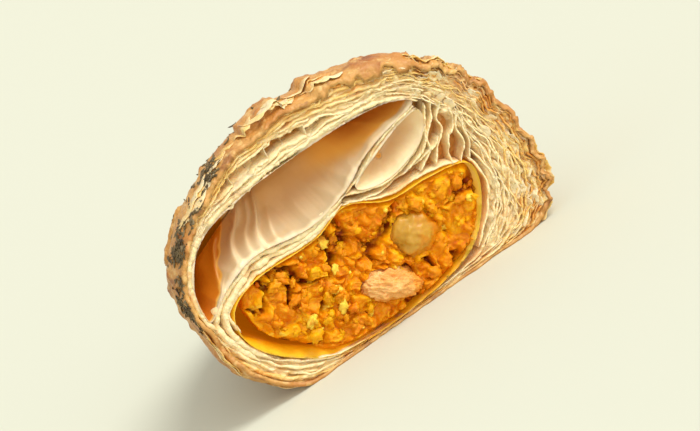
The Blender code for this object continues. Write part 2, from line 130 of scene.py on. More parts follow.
FILLING_POINTS = [
    (-14.5, 2.1), (-21.4, 7.4), (-26.0, 12.8), (-26.8, 19.6), (-22.3, 23.0), (-9.5, 22.9), (-0.8, 24.9),
    (6.9, 20.9), (14.8, 20.3), (22.9, 18.3), (22.6, 12.6), (15.9, 4.7), (4.0, 1.8),
]
LARGE_POCKET_POINTS = [
    (20.8, 34.8), (9.0, 31.9), (0.6, 27.9), (-9.0, 26.0), (-20.1, 27.6), (-28.6, 25.2), (-34.2, 21.8),
    (-33.4, 28.8), (-27.1, 35.9), (-15.5, 38.7), (-2.0, 39.1), (13.0, 38.2),
]
SMALL_POCKET_POINTS = [(20.4, 33.2), (20.4, 30.0), (16.2, 26.7), (8.4, 25.0), (2.9, 27.3), (11.8, 31.2)]


def curve_between(a, b, c, d, t):
    """A point from b to c on the smooth curve through four points."""
    return 0.5 * (2 * b + (c - a) * t + (2 * a - 5 * b + 4 * c - d) * t * t + (3 * b - a - 3 * c + d) * t ** 3)


def curve_point(points, position):
    """A point of the closed smooth curve through the points, at a position counted in points."""
    start = math.floor(position)
    corners = (Vector(points[(start + k) % len(points)]) for k in (-1, 0, 1, 2))
    return curve_between(*corners, position - start)


class Outline:
    """A smooth closed curve through section points, read by a share of the way round it."""

    SAMPLES = 30

    def __init__(self, points, weight=lambda position: 1.0):
        self.points = points
        total = len(points) * self.SAMPLES
        self.positions = [k / self.SAMPLES for k in range(total + 1)]
        self.spots = [curve_point(points, position) for position in self.positions]
        self.shares = [0.0]
        for k in range(total):
            step = (self.spots[k + 1] - self.spots[k]).length * weight(self.positions[k])
            self.shares.append(self.shares[-1] + step)
        self.length = self.shares[-1]
        self.shares = [share / self.length for share in self.shares]
        self.middle = sum(self.spots, Vector((0.0, 0.0))) / len(self.spots)

    def position_at(self, share):
        """Turns a share of the way round into a position among the control points."""
        share %= 1.0
        k = min(bisect.bisect_right(self.shares, share), len(self.shares) - 1) - 1
        t = (share - self.shares[k]) / (self.shares[k + 1] - self.shares[k])
        return self.positions[k] + t / self.SAMPLES

    def spot(self, position):
        """The curve's point at a position."""
        return curve_point(self.points, position)

    def normal(self, position):
        """The unit normal that points out of the curve, whose points run clockwise seen from the front."""
        along = self.spot(position + 0.02) - self.spot(position - 0.02)
        return Vector((-along.y, along.x)).normalized()


def crust_weight(position):
    """More columns on the layered edge and few on the flat base."""
    if position < 0.2 or position > 12.2:
        return 0.35
    return 1.4 if 7.0 < position < 12.0 else 1.0


def ring(outline, columns):
    """For each column of a mesh round an outline: its position, its point and its outward normal."""
    positions = [outline.position_at(column / columns) for column in range(columns + 1)]
    return [(position, outline.spot(position), outline.normal(position)) for position in positions]


CRUST = Outline(CRUST_POINTS, crust_weight)
EVEN_CRUST = Outline(CRUST_POINTS)
print("crust outline:", round(EVEN_CRUST.length), "mm round")

# %% [markdown]
# ## One way to make every skin
#
# A crust, a flake and a pocket's wall are all skins with two faces. Each starts as a flat grid from
# `bmesh.ops.create_grid`, and a rule then gives every corner its place: the columns go round or along the
# skin, the rows go over one face, round the front edge and back over the other face. Where the grid's sides
# meet, `remove_doubles` welds them, so each skin is closed. Two numbers are stored with each corner for the
# materials: `shade`, how browned the spot is, and on the pockets' walls also their painted shade, highlights
# and glow; and `deep`, how far it lies behind the cut, which the pastry finishes turn into painted shade.

# %% Mesh helpers
WELD = 0.000002


def new_mesh():
    """An empty mesh with the two stored numbers."""
    bm = bmesh.new()
    bm.verts.layers.float.new("shade")
    bm.verts.layers.float.new("deep")
    return bm


def stored_layers(bm):
    """Where the mesh keeps its shades and its depths."""
    return bm.verts.layers.float["shade"], bm.verts.layers.float["deep"]


def shaped_grid(bm, columns, rows, rule):
    """Adds a grid whose corners go where rule(column, row) says: to a spot, with a shade and a depth."""
    shade_layer, deep_layer = stored_layers(bm)
    made = bmesh.ops.create_grid(bm, x_segments=columns, y_segments=rows, size=0.5)["verts"]
    for vert in made:
        spot, shade, deep = rule(round((vert.co.x + 0.5) * columns), round((vert.co.y + 0.5) * rows))
        vert.co = spot * MM
        vert[shade_layer] = shade
        vert[deep_layer] = deep
    bmesh.ops.remove_doubles(bm, verts=made, dist=WELD)


def plate_row(row, places):
    """For a row of a thin plate's grid: 1 on its front face or -1 on its back, and the row's place."""
    row %= 2 * len(places)
    return (1.0, places[row]) if row < len(places) else (-1.0, places[len(places) - 1 - row])


def add_object(name, data):
    """Adds an object with the given data to the scene."""
    made = bpy.data.objects.new(name, data)
    bpy.context.scene.collection.objects.link(made)
    return made


def finish_piece(name, bm, material, slot, *nodes):
    """Turns a mesh into a smooth piece that rides on the food and stands for the named solids."""
    bmesh.ops.recalc_face_normals(bm, faces=bm.faces)
    mesh = bpy.data.meshes.new(name)
    bm.to_mesh(mesh)
    bm.free()
    mesh.shade_smooth()
    mesh.materials.append(material)
    piece = add_object(name, mesh)
    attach(piece, "root")
    if nodes:
        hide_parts(*nodes)
    triangles = sum(len(face.vertices) - 2 for face in mesh.polygons)
    print(f"{name}: {triangles} triangles")


def grid_piece(name, columns, rows, rule, material, slot, *nodes):
    """A piece that is one shaped grid."""
    bm = new_mesh()
    shaped_grid(bm, columns, rows, rule)
    finish_piece(name, bm, material, slot, *nodes)


def wave(x, y, z, scale):
    """Smooth noise between about -1 and 1 whose bumps are scale millimetres wide."""
    return noise.noise(Vector((x, y, z)) / scale)


# %% [markdown]
# ## Colours and shared effects
#
# The photo's colours are written as they look on a screen and turned into the linear values that the
# renderer wants. `add_node` adds a shader node and takes its inputs as numbers or as outputs of other nodes.
# Two effects come back in many finishes, so each is a node group: soft mottling, which gives a mask, and fine
# grain, which gives a height for a bump. Both read Object coordinates, which stay put on the food from every
# side.

# %% Colour and shader groups


def screen(red, green, blue):
    """A colour as seen on a screen, 0 to 255, as linear values."""
    linear = []
    for level in (red / 255.0, green / 255.0, blue / 255.0):
        linear.append(level / 12.92 if level <= 0.04045 else ((level + 0.055) / 1.055) ** 2.4)
    return (*linear, 1.0)


def set_inputs(tree, node, inputs):
    """Gives a node's inputs their numbers and colours, or links from other nodes."""
    for label, value in inputs.items():
        if isinstance(value, bpy.types.NodeSocket):
            tree.links.new(value, node.inputs[label])
        else:
            node.inputs[label].default_value = value


def add_node(tree, kind, inputs, output, **settings):
    """Adds a shader node with its settings and inputs, and hands over one of its outputs."""
    node = tree.nodes.new("ShaderNode" + kind)
    for label, value in settings.items():
        setattr(node, label, value)
    set_inputs(tree, node, inputs)
    return node.outputs[output]


def new_group(name, numbers, output):
    """A shader group with named number inputs and one number output, and its two ends."""
    group = bpy.data.node_groups.new(name, "ShaderNodeTree")
    for label, default in numbers.items():
        group.interface.new_socket(label, in_out="INPUT", socket_type="NodeSocketFloat").default_value = default
    group.interface.new_socket(output, in_out="OUTPUT", socket_type="NodeSocketFloat")
    return group, group.nodes.new("NodeGroupInput").outputs, group.nodes.new("NodeGroupOutput")


def mottle_group():
    """Soft irregular patches between two levels of a noise."""
    group, given, end = new_group("Mottle", {"Scale": 200.0, "Low": 0.4, "High": 0.6}, "Mask")
    place_on_food = add_node(group, "TexCoord", {}, "Object")
    patches = add_node(group, "TexNoise", {
        "Vector": place_on_food, "Scale": given["Scale"], "Detail": 4.0}, "Fac")
    mask = add_node(group, "MapRange", {
        "Value": patches, "From Min": given["Low"], "From Max": given["High"]}, "Result",
        interpolation_type="SMOOTHSTEP")
    set_inputs(group, end, {"Mask": mask})
    return group


def grain_group():
    """Fine crumb: small noise with half as much of a coarser one under it."""
    group, given, end = new_group("Grain", {"Scale": 1500.0}, "Height")
    place_on_food = add_node(group, "TexCoord", {}, "Object")
    fine = add_node(group, "TexNoise", {
        "Vector": place_on_food, "Scale": given["Scale"], "Detail": 3.0}, "Fac")
    coarse_scale = add_node(group, "Math", {0: given["Scale"], 1: 0.3}, "Value", operation="MULTIPLY")
    coarse = add_node(group, "TexNoise", {"Vector": place_on_food, "Scale": coarse_scale}, "Fac")
    height = add_node(group, "Math", {0: coarse, 1: 0.5, 2: fine}, "Value", operation="MULTIPLY_ADD")
    set_inputs(group, end, {"Height": height})
    return group


MOTTLE = mottle_group()
GRAIN = grain_group()

# %% [markdown]
# A finish is a chain of colours, each laid over the one before by a mask. A row of a table says what one coat
# is: where it lies, from which level to which, its colour, and how much of it. The place is the name of a
# stored number, or the scale of some mottling. `Finish` turns those rows into nodes. The Principled shader
# stays in the material itself, and its uniform numbers are set on its own sockets.

# %% Finish builder


class Finish:
    """A material whose colour is built up in coats, each over the last by a mask."""

    def __init__(self, name, base, coats, roughness, subsurface=0.0, scatter=(1.0, 0.5, 0.2),
                 reach=0.002, gloss=0.5):
        self.material = bpy.data.materials.new(name)
        self.material.use_nodes = True
        self.tree = self.material.node_tree
        colour = screen(*base)
        for where, low, high, coat, strength in coats:
            colour = self.mix(self.mask(where, low, high, strength), colour, screen(*coat))
        self.set_shader({
            "Base Color": colour, "Roughness": roughness, "Subsurface Weight": subsurface,
            "Subsurface Radius": scatter, "Subsurface Scale": reach, "Specular IOR Level": gloss,
        })

    def set_shader(self, inputs):
        """Sets or links inputs of the material's own Principled shader."""
        set_inputs(self.tree, self.tree.nodes["Principled BSDF"], inputs)

    def mask(self, where, low, high, strength=1.0):
        """A mask that rises from the low level to the high one, of a stored number or of soft patches."""
        if isinstance(where, str):
            stored = add_node(self.tree, "Attribute", {}, "Fac", attribute_name=where)
            mask = add_node(self.tree, "MapRange", {
                "Value": stored, "From Min": low, "From Max": high}, "Result", interpolation_type="SMOOTHSTEP")
        else:
            mask = add_node(self.tree, "Group", {"Scale": where, "Low": low, "High": high}, 0, node_tree=MOTTLE)
        if strength == 1.0:
            return mask
        return add_node(self.tree, "Math", {0: mask, 1: strength}, "Value", operation="MULTIPLY")

    def mix(self, mask, under, over):
        """One colour laid over another."""
        return add_node(self.tree, "Mix", {"Factor": mask, "A": under, "B": over}, "Result", data_type="RGBA")

    def glow(self, where, low, high, colour, strength):
        """A painted glow, a little light of its own: on the pockets for light through thin dough, on the
        stained sheet to lift it where its neighbours shade it.
        """
        light = self.mix(self.mask(where, low, high), (0.0, 0.0, 0.0, 1.0), screen(*colour))
        self.set_shader({"Emission Color": light, "Emission Strength": strength})
        return self

    def grain(self, scale, height):
        """Adds fine grain to the surface, its height in metres, and hands over the material."""
        grain = add_node(self.tree, "Group", {"Scale": scale}, "Height", node_tree=GRAIN)
        normal = add_node(self.tree, "Bump", {"Distance": height, "Height": grain}, "Normal")
        self.set_shader({"Normal": normal})
        return self.material


# %% [markdown]
# ## The pastry's finishes
#
# Baked dough goes from cream inside to gold and brown outside. The crust is mottled gold and brown, with
# darker blisters. The flakes in the rim are cream at their torn edges and amber further in, a painted shade and
# glow for the gaps, where light has come through several sheets. The pockets' walls are smoother, with painted
# shade further in and under the roof, pale creases as painted highlights, and a painted glow in golden brown
# at the fold side's end. The sheet round the filling is stained yellow by its oil, painted darker further in,
# and given a faint painted glow.

# %% Pastry finishes
CRUST_FINISH = Finish("baked crust", (206, 150, 76), [
    ("shade", 0.42, 0.05, (230, 186, 108), 0.9),
    (95.0, 0.42, 0.62, (188, 120, 48), 0.75),
    ("shade", 0.5, 0.9, (168, 96, 34), 1.0),
    (240.0, 0.57, 0.7, (128, 66, 24), 0.65),
    (420.0, 0.56, 0.68, (238, 200, 126), 0.5),
], roughness=0.46, subsurface=0.06).grain(1200.0, 0.0004)

FLAKE_FINISH = Finish("pastry flakes", (250, 222, 168), [
    ("shade", 0.35, 0.85, (242, 196, 112), 1.0),
    ("shade", 0.8, 1.1, (220, 146, 54), 0.9),
    # Painted shade and painted glow in the gaps: the further a spot lies behind the cut, the more amber it is.
    ("deep", 0.08, 0.3, (232, 168, 86), 0.7),
    ("deep", 0.12, 0.28, (210, 134, 28), 0.75),
    (380.0, 0.5, 0.66, (252, 230, 180), 0.4),
    (210.0, 0.56, 0.68, (226, 156, 70), 0.45),
], roughness=0.6, subsurface=0.3, scatter=(1.0, 0.6, 0.3), reach=0.0015).grain(1700.0, 0.0003)

POCKET_FINISH = Finish("pocket wall", (248, 222, 176), [
    # Painted shade just behind the lip; the lip and the creases keep the pale base as painted highlights.
    ("shade", 0.06, 0.2, (200, 172, 130), 1.0),
    # Painted shade, darker the further behind the cut.
    ("deep", 0.05, 0.34, (188, 134, 72), 0.8),
    (90.0, 0.52, 0.72, (238, 212, 168), 0.2),
    (160.0, 0.52, 0.66, (214, 168, 110), 0.3),
    # Painted shade in gold under the roof.
    ("shade", 0.25, 0.6, (226, 162, 66), 1.0),
    # Painted glow and shade in deep gold at the fold side's end; the same coat browns the real scorched spot.
    ("shade", 0.62, 0.95, (184, 100, 4), 1.0),
# The painted glow lights the fold side's end and the scorched spot as well.
], roughness=0.5, subsurface=0.25).glow("shade", 0.6, 1.0, (206, 122, 10), 0.1).grain(900.0, 0.00006)

STAINED_AND_SHADED_FINISH = Finish("stained and shaded pastry", (250, 194, 40), [
    # Painted shade: darker the further back into the chamber.
    ("deep", 0.03, 0.2, (240, 172, 8), 1.0),
    ("deep", 0.3, 0.8, (208, 130, 2), 0.85),
    (260.0, 0.5, 0.68, (246, 206, 110), 0.35),
# A faint painted glow over the sheet, more of it further in, lifts it where its neighbours shade it.
], roughness=0.42, subsurface=0.25).glow("deep", -0.4, 0.4, (218, 140, 2), 0.2).grain(1200.0, 0.0001)

# %% [markdown]
# ## Relief of the crust
#
# The oven leaves three kinds of relief on the outside. Blisters are soft swells. Flakes are flat plates with
# ragged edges, one over the other, which a smooth noise cut into terraces gives. On the open edge the layers
# show as many thin ledges. A row of pressed pits, where the dough was sealed, runs along the top of it.

# %% Crust relief
BASE_FLAT = 0.25
BLISTER = 1.0
BLISTER_SCALE = 0.085
PLATE_STEPS = 2.6
PLATE_LIFT = 0.34
BUBBLE_LIFT = 0.9
FLANK_START = 7.5
FLANK_END = 12.1
FLANK_LAYERS = 7.0
FLANK_RELIEF = 1.28
FLANK_TOP = 38.0
LEAVES_A_LAYER = 2.9
LEDGE_RELIEF = 0.75
CRIMP_POINT = 7.45
CRIMP_HALF_WIDTH = 0.27
CRIMP_PITCH = 10.4
CRIMP_FIRST = 4.0
CRIMP_LAST = 52.0
CRIMP_DEPTH = 2.1
CRIMP_BAR_SHARE = 0.3
FLAKES = [
    ((7.15, 5.5), (0.7, 5.5), 1.6),
    ((5.65, 5.5), (0.3, 3.5), 1.1),
    ((5.1, 22.0), (0.5, 7.0), 0.8),
    ((3.6, 13.0), (0.45, 4.0), 0.7),
    ((6.6, 31.0), (0.5, 8.0), 0.9),
    ((4.4, 38.0), (0.4, 6.0), 0.6),
]


def flank_share(position):
    """1 on the layered edge of the outline, 0 elsewhere."""
    return plateau(position, FLANK_START, FLANK_END, 0.6)


def crimp_pit(position, depth):
    """Depth of the crimped row: pits with bars of dough between them."""
    if not CRIMP_FIRST < depth < CRIMP_LAST:
        return 0.0
    phase = ((depth - CRIMP_FIRST) / CRIMP_PITCH) % 1.0
    across = abs(position - CRIMP_POINT) / CRIMP_HALF_WIDTH
    return CRIMP_DEPTH * plateau(phase, CRIMP_BAR_SHARE, 1.0, 0.06) * math.exp(-(across ** 4) * 1.6)


def flake_lift(position, depth):
    """Height of the raised flakes at a place on the top crust."""
    lift = 0.0
    rag = 0.16 * wave(position * 9.0, depth, 3.0, 2.2)
    for (middle, middle_depth), (half, half_depth), height in FLAKES:
        across = max(abs(position - middle) / half, abs(depth - middle_depth) / half_depth) + rag
        lift = max(lift, height * smooth_step((1.06 - across) / 0.09))
    return lift


def terrace(value, steps, edge):
    """A smooth value cut into flat steps with short rises."""
    scaled = value * steps
    floor = math.floor(scaled)
    return (floor + smooth_step((scaled - floor) / edge)) / steps


def crust_relief(position, x, z, depth):
    """How far the crust stands out, in millimetres, and how browned it is there."""
    off_base = smooth_step((z - BASE_FLAT) / 4.0)
    flank = flank_share(position)
    blister = noise.fractal(Vector((x, depth, z)) * BLISTER_SCALE, 0.9, 2.1, 3)
    patches = wave(x, depth, z, 7.0) + 0.45 * wave(x + 40.0, depth, z, 2.6)
    plates = terrace(patches, PLATE_STEPS, 0.16)
    bubbles = max(0.0, wave(x, depth + 90.0, z, 2.3) - 0.18)
    fine = wave(x, depth, z, 0.8)
    wander = wave(x, depth * 1.2, z * 0.8, 20.0)
    layer = FLANK_LAYERS * (z / FLANK_TOP) + 1.2 * wander
    ridge = abs(2.0 * (layer % 1.0) - 1.0) - 0.5
    leaves = LEAVES_A_LAYER * layer + 0.5 * wave(x, depth, z, 5.0) + 0.22 * wave(x, depth, z, 1.6)
    ledge = (leaves % 1.0) ** 1.6 - 0.45
    top = BLISTER * blister + PLATE_LIFT * plates + BUBBLE_LIFT * bubbles + 0.07 * fine
    top += flake_lift(position, depth)
    side = FLANK_RELIEF * ridge + 0.1 * fine
    side += LEDGE_RELIEF * ledge * (0.7 + 0.6 * wave(x + 9.0, depth, z, 6.0))
    pit = crimp_pit(position, depth)
    lift = off_base * ((1.0 - flank) * top + flank * side) - pit
    brown_top = 0.42 + 0.30 * plates + 0.55 * bubbles + 0.22 * blister + 0.30 * pit / CRIMP_DEPTH
    brown_side = 0.36 + 0.42 * ledge + 0.22 * wave(x, depth, z, 9.0)
    brown = (1.0 - flank) * brown_top + flank * brown_side
    return lift, clamp(brown)


# %% [markdown]
# ## The crust
#
# One closed skin: its rows start inside at the corner, come forward along a plain inner wall, turn round the
# ragged front edge and go back over the whole outside to the corner, where they close in a small dome.

# %% Crust
CRUST_COLUMNS = 500
INNER_ROWS = 8
OUTER_ROWS = 168
DOME_ROWS = 8
WALL = 0.8
DEEP_WALL = 2.6
WALL_GROWTH = 12.0
INNER_END = HALF_LENGTH - 3.0
DOME = 2.0
FULL_DEEP = 20.0


def crust_columns():
    """Everything about a column of the crust that doesn't change with depth."""
    columns = []
    for position, spot, normal in ring(CRUST, CRUST_COLUMNS):
        ragged = 0.5 * wave(spot.x, spot.y, 5.0, 1.1) + 0.6 * wave(spot.x, spot.y, 9.0, 3.5)
        columns.append((position, spot, normal, ragged))
    return columns


def crust_piece():
    """Builds the crust."""
    columns = crust_columns()

    def inner_spot(column, row):
        position, spot, normal, ragged = columns[column]
        if row == 0:
            return place(0.0, 18.0, INNER_END), 0.25, INNER_END / FULL_DEEP
        share = 1.0 - row / INNER_ROWS
        depth = ragged * (1.0 - share) + INNER_END * share ** 1.6
        lift, _ = crust_relief(position, spot.x, spot.y, depth)
        behind = smooth_step(depth / WALL_GROWTH)
        flat = spot + normal * (lift * (1.0 - behind) - WALL - (DEEP_WALL - WALL) * behind)
        return place(flat.x, max(0.5, flat.y), depth), 0.25, depth / FULL_DEEP

    def outer_spot(column, row):
        position, spot, normal, ragged = columns[column]
        depth = ragged + (HALF_LENGTH - ragged) * clamp(row / OUTER_ROWS) ** 1.12
        lift, brown = crust_relief(position, spot.x, spot.y, depth)
        flat = spot + normal * lift
        where = place(flat.x, max(0.0, flat.y), depth)
        if row > OUTER_ROWS:
            turn = 0.5 * math.pi * (row - OUTER_ROWS) / DOME_ROWS
            centre = place(CRUST.middle.x, CRUST.middle.y, HALF_LENGTH)
            where = centre + (where - centre) * max(0.0, math.cos(turn))
            where.y += DOME * math.sin(turn)
        return where, brown, 0.0

    def rule(column, row):
        return inner_spot(column, row) if row <= INNER_ROWS else outer_spot(column, row - INNER_ROWS)

    rows = INNER_ROWS + OUTER_ROWS + DOME_ROWS
    grid_piece("crust", CRUST_COLUMNS, rows, rule, CRUST_FINISH, "baked_pastry", "pastry")


crust_piece()

# %% [markdown]
# ## The flaky rim
#
# Between the crust and the pockets lie many thin sheets, each following the outline of the cut. They part
# and bunch in the oven: thick pressed layers at the fold and the top, with one long slit between them, and
# a honeycomb of thin ones at the open edge, where neighbours touch and close small cells. Each sheet's front
# edge is torn a little differently. A sheet is a band that goes all the way round: its rows run forward on
# one face and back on the other.

# %% Where the layers part
SHEETS = 15
SLIT_MIDDLE = -7.0
SLIT_HALF = 14.0
SLIT_WIDTH = 2.3


def sheet_rank(layer):
    """0 for the few main sheets that show everywhere, 2 for those that show at the open edge only."""
    return (0, 2, 1, 2)[layer % 4]


def open_edge_share(position):
    """1 where the rim opens at the layered edge, 0 elsewhere."""
    return plateau(position, 6.7, 12.6, 0.9)


def shown_rank(position):
    """Which sheets show at a place: all at the open edge, half on top, the main ones elsewhere."""
    return max(0.25, 2.0 * open_edge_share(position), 1.05 * plateau(position, 2.6, 9.0, 1.0))


def slit_at(x, z):
    """Width of the long slit at a place in the rim and its share of the way from the core to the crust."""
    across = (x - SLIT_MIDDLE) / SLIT_HALF
    if abs(across) >= 1.0 or z < 30.0:
        return 0.0, 0.5
    return SLIT_WIDTH * math.sqrt(1.0 - across * across), 0.42 - 0.22 * across


def oil_stain(x, z):
    """1 where the filling's oil has soaked through the base, 0 elsewhere."""
    return smooth_step((2.6 - z) / 1.6) * smooth_step((x + 19.0) / 4.0) * smooth_step((9.0 - x) / 6.0)


# %% [markdown]
# First comes the crumb of the rim, a closed ring with a rough, layered front a few millimetres back. It is
# what one sees at the bottom of the gaps, so the rim never looks hollow.

# %% Rim crumb
RIM_CRUMB_COLUMNS = 480
RIM_CRUMB_ROWS = 30
RIM_CRUMB_BACK = 12.0
RIM_CRUMB_FRONT = 1.3
SLIT_DEPTH = 3.0


def rim_columns(count):
    """For each column: its position, the crust, the core, the wall between them and the crust's relief."""
    columns = []
    for position, spot, normal in ring(CRUST, count):
        lift, _ = crust_relief(position, spot.x, spot.y, 1.0)
        outer = spot + normal * (lift - WALL)
        inner = curve_point(CORE_POINTS, position)
        columns.append((position, outer, inner, (outer - inner).length, normal * lift))
    return columns


def between(outer, inner, relief, share):
    """A place in the rim. The further in it lies, the less it follows the crust's relief."""
    return inner.lerp(outer, share) - relief * share * (1.0 - share * share)


def rim_crumb_piece():
    """Builds the crumb ring of the rim."""
    columns = rim_columns(RIM_CRUMB_COLUMNS)

    def rule(column, row):
        position, outer, inner, wall, relief = columns[column]
        row %= RIM_CRUMB_ROWS + 2
        if row in (0, RIM_CRUMB_ROWS + 1):
            flat = outer if row else inner
            return place(flat.x, max(0.3, flat.y), RIM_CRUMB_BACK), 0.6, 0.6
        share = (row - 1) / (RIM_CRUMB_ROWS - 1)
        flat = between(outer, inner, relief, share)
        layered = noise.noise(Vector((position * 2.45, share * wall * 1.3, 3.0)))
        pores = noise.noise(Vector((flat.x * 0.7, flat.y * 0.7, 7.0)))
        fine = noise.noise(Vector((flat.x * 1.9, flat.y * 1.9, 2.0)))
        width, middle = slit_at(flat.x, flat.y)
        slit = smooth_step((0.55 * width - abs(share - middle) * wall) / 0.5) if width else 0.0
        depth = RIM_CRUMB_FRONT + 1.1 * layered + pores + 0.4 * fine + SLIT_DEPTH * slit
        brown = max(0.3 + 0.4 * share, oil_stain(flat.x, flat.y))
        return place(flat.x, max(0.3, flat.y), depth), brown, max(0.0, depth - 1.0) / FULL_DEEP

    rows = RIM_CRUMB_ROWS + 2
    grid_piece("rim_crumb", RIM_CRUMB_COLUMNS, rows, rule, FLAKE_FINISH, "baked_pastry", "pastry")


rim_crumb_piece()

# %% Rim sheets
SHEET_COLUMNS = 560
SHEET_DEPTHS = [9.0, 4.6, 2.4, 1.3, 0.6, 0.22, 0.0]
SHEET_SHARE_OF_GAP = 0.86
SHEET_THINNEST = 0.2
SHEET_THICKEST = 1.25


def parted_shift(spot, layer, gap, position):
    """How far a sheet wanders from its even place: together with its neighbours, and against them."""
    open_edge = open_edge_share(position)
    together = (0.55 + 0.7 * open_edge) * wave(spot.x, spot.y, layer * 1.7, 5.5)
    against = (-1.0 if layer % 2 else 1.0) * gap * (0.35 + 0.45 * open_edge)
    against *= 1.6 * wave(spot.x, spot.y, (layer // 2) * 9.0, 3.0)
    return together * min(1.0, gap * 2.0) + against


def torn(spot, layer):
    """How far behind the cut a sheet's front edge lies."""
    fringe = 0.5 * abs(wave(spot.x, spot.y, layer * 13.0, 0.8))
    fringe += 0.35 * abs(wave(spot.x, spot.y, layer * 3.0, 1.7))
    bites = 3.2 * max(0.0, wave(spot.x, spot.y, layer * 29.0, 3.4) - 0.2)
    return 0.25 + 0.45 * wave(spot.x, spot.y, layer * 7.0, 6.0) + fringe + bites


def rim_sheets(name, layers):
    """Builds some of the rim's sheets as one piece."""
    columns = rim_columns(SHEET_COLUMNS)
    bm = new_mesh()
    for layer in layers:
        share = (layer + 0.5) / SHEETS
        rank = sheet_rank(layer)

        def rule(column, row, layer=layer, share=share, rank=rank):
            position, outer, inner, wall, relief = columns[column]
            face, behind = plate_row(row, SHEET_DEPTHS)
            shown = shown_rank(position)
            hidden = smooth_step(rank - shown)
            gap = wall / SHEETS * (4.0, 2.0, 1.0)[round(min(2.0, shown))]
            even = between(outer, inner, relief, share)
            width, middle = slit_at(even.x, even.y)
            slit = 0.0
            if width:
                slit = share * (max(0.2, wall - width) - wall) + (width if share > middle else 0.0)
            thick = clamp(SHEET_SHARE_OF_GAP * gap, SHEET_THINNEST, SHEET_THICKEST) * (1.0 - 0.6 * hidden)
            thick *= 0.75 + 0.5 * wave(even.x, even.y, layer * 4.0 + 60.0, 5.0)
            thick *= 0.6 + 0.4 * smooth_step(behind / 0.5)
            ripple = 0.1 * wave(even.x, even.y, behind * 2.0 + layer * 5.0, 1.3)
            settle = 0.5 + 0.5 * smooth_step(1.0 - behind / SHEET_DEPTHS[0])
            shift = parted_shift(even, layer, gap, position) * settle + ripple + slit
            shift = clamp(shift, -share * wall, wall - share * wall) + face * 0.5 * thick
            flat = even + (outer - inner) / wall * shift
            depth = torn(even, layer) + behind + 1.8 * hidden
            brown = share + 0.25 * wave(even.x, even.y, layer * 3.0, 5.0) + 0.2 * flank_share(position)
            brown = clamp(brown + oil_stain(even.x, even.y), 0.0, 1.2)
            return place(flat.x, max(0.15, flat.y), depth), brown, depth / FULL_DEEP

        shaped_grid(bm, SHEET_COLUMNS, 2 * len(SHEET_DEPTHS), rule)
    finish_piece(name, bm, FLAKE_FINISH, "baked_pastry", "pastry")


rim_sheets("inner_flakes", range(0, SHEETS // 2))
rim_sheets("outer_flakes", range(SHEETS // 2, SHEETS))

# %% [markdown]
# ## Pockets
#
# Steam blows the dough into bags. A bag here is a closed cup: its rows start at the far end, come forward
# over the wall that one sees, turn round the thin torn lip and go back over a hidden outer wall. A rule says
# how the mouth sinks to the far end. The large pocket's floor is a soft membrane that climbs to a line
# under the roof, soon in the middle and further back at the ends.

# %% Bags
BAG_WALL = 0.4
BAG_LIP = 0.4


def sink_to_middle(outline, depth, flare=0.0, roundness=2.6):
    """A cup that narrows to its middle. Flare slopes the wall inwards just behind the mouth."""
    def sink(spot, normal, share):
        shrink = math.sqrt(max(0.0, 1.0 - share ** roundness))
        low_left = smooth_step((-6.0 - spot.x) / 14.0) * smooth_step((18.0 - spot.y) / 8.0)
        slope = flare * low_left * smooth_step(depth * share / 4.5) * shrink
        return outline.middle + (spot - outline.middle) * shrink - normal * slope, depth * share
    return sink


POCKET_SPINE = [(-28.5, 30.6), (-15.0, 36.0), (0.0, 37.2), (14.0, 36.0)]
POCKET_LEAN = 0.7
POCKET_CURTAIN = -45.5
POCKET_CURTAIN_REACH = 3.5
POCKET_FAR_END = 4.0
POCKET_FAR_REACH = 12.0
POCKET_MIDDLE_DEPTH = 9.5
POCKET_END_DEPTH = 16.0
POCKET_CLIMB = 2.0


def spine_height(x):
    """Height of the line under the large pocket's roof."""
    for (x0, z0), (x1, z1) in zip(POCKET_SPINE, POCKET_SPINE[1:]):
        if x <= x1:
            return z0 + (z1 - z0) * (x - x0) / (x1 - x0)
    return POCKET_SPINE[-1][1]


def sink_to_spine(spot, normal, share):
    """The large pocket: its floor climbs to the spine, and its ends reach further back."""
    spine_x = min(POCKET_SPINE[-1][0], max(POCKET_SPINE[0][0], spot.x))
    spine = Vector((spine_x, spine_height(spine_x)))
    curtain = smooth_step((POCKET_CURTAIN - (spot.x - POCKET_LEAN * spot.y)) / POCKET_CURTAIN_REACH)
    far_end = 0.5 * smooth_step((spot.x - POCKET_FAR_END) / POCKET_FAR_REACH)
    reach = POCKET_MIDDLE_DEPTH + (POCKET_END_DEPTH - POCKET_MIDDLE_DEPTH) * max(curtain, far_end)
    return spine + (spot - spine) * (1.0 - share ** POCKET_CLIMB), reach * share


CREASES = [(-33.5, 0.5), (-36.8, 1.5), (-39.0, 0.6), (-41.6, 1.2), (-45.4, 1.3)]
CREASE_HALF_WIDTH = 0.55
CREASE_RISE = 0.9


def creases(flat):
    """A few sharp folds that climb the membrane, leaning with it."""
    across = flat.x - POCKET_LEAN * flat.y + 1.5 * wave(flat.x, flat.y, 3.0, 6.0)
    return smooth_step((-10.0 - flat.x) / 4.0) * sum(
        height * math.exp(-abs((across - line) / CREASE_HALF_WIDTH) ** 1.3) for line, height in CREASES)


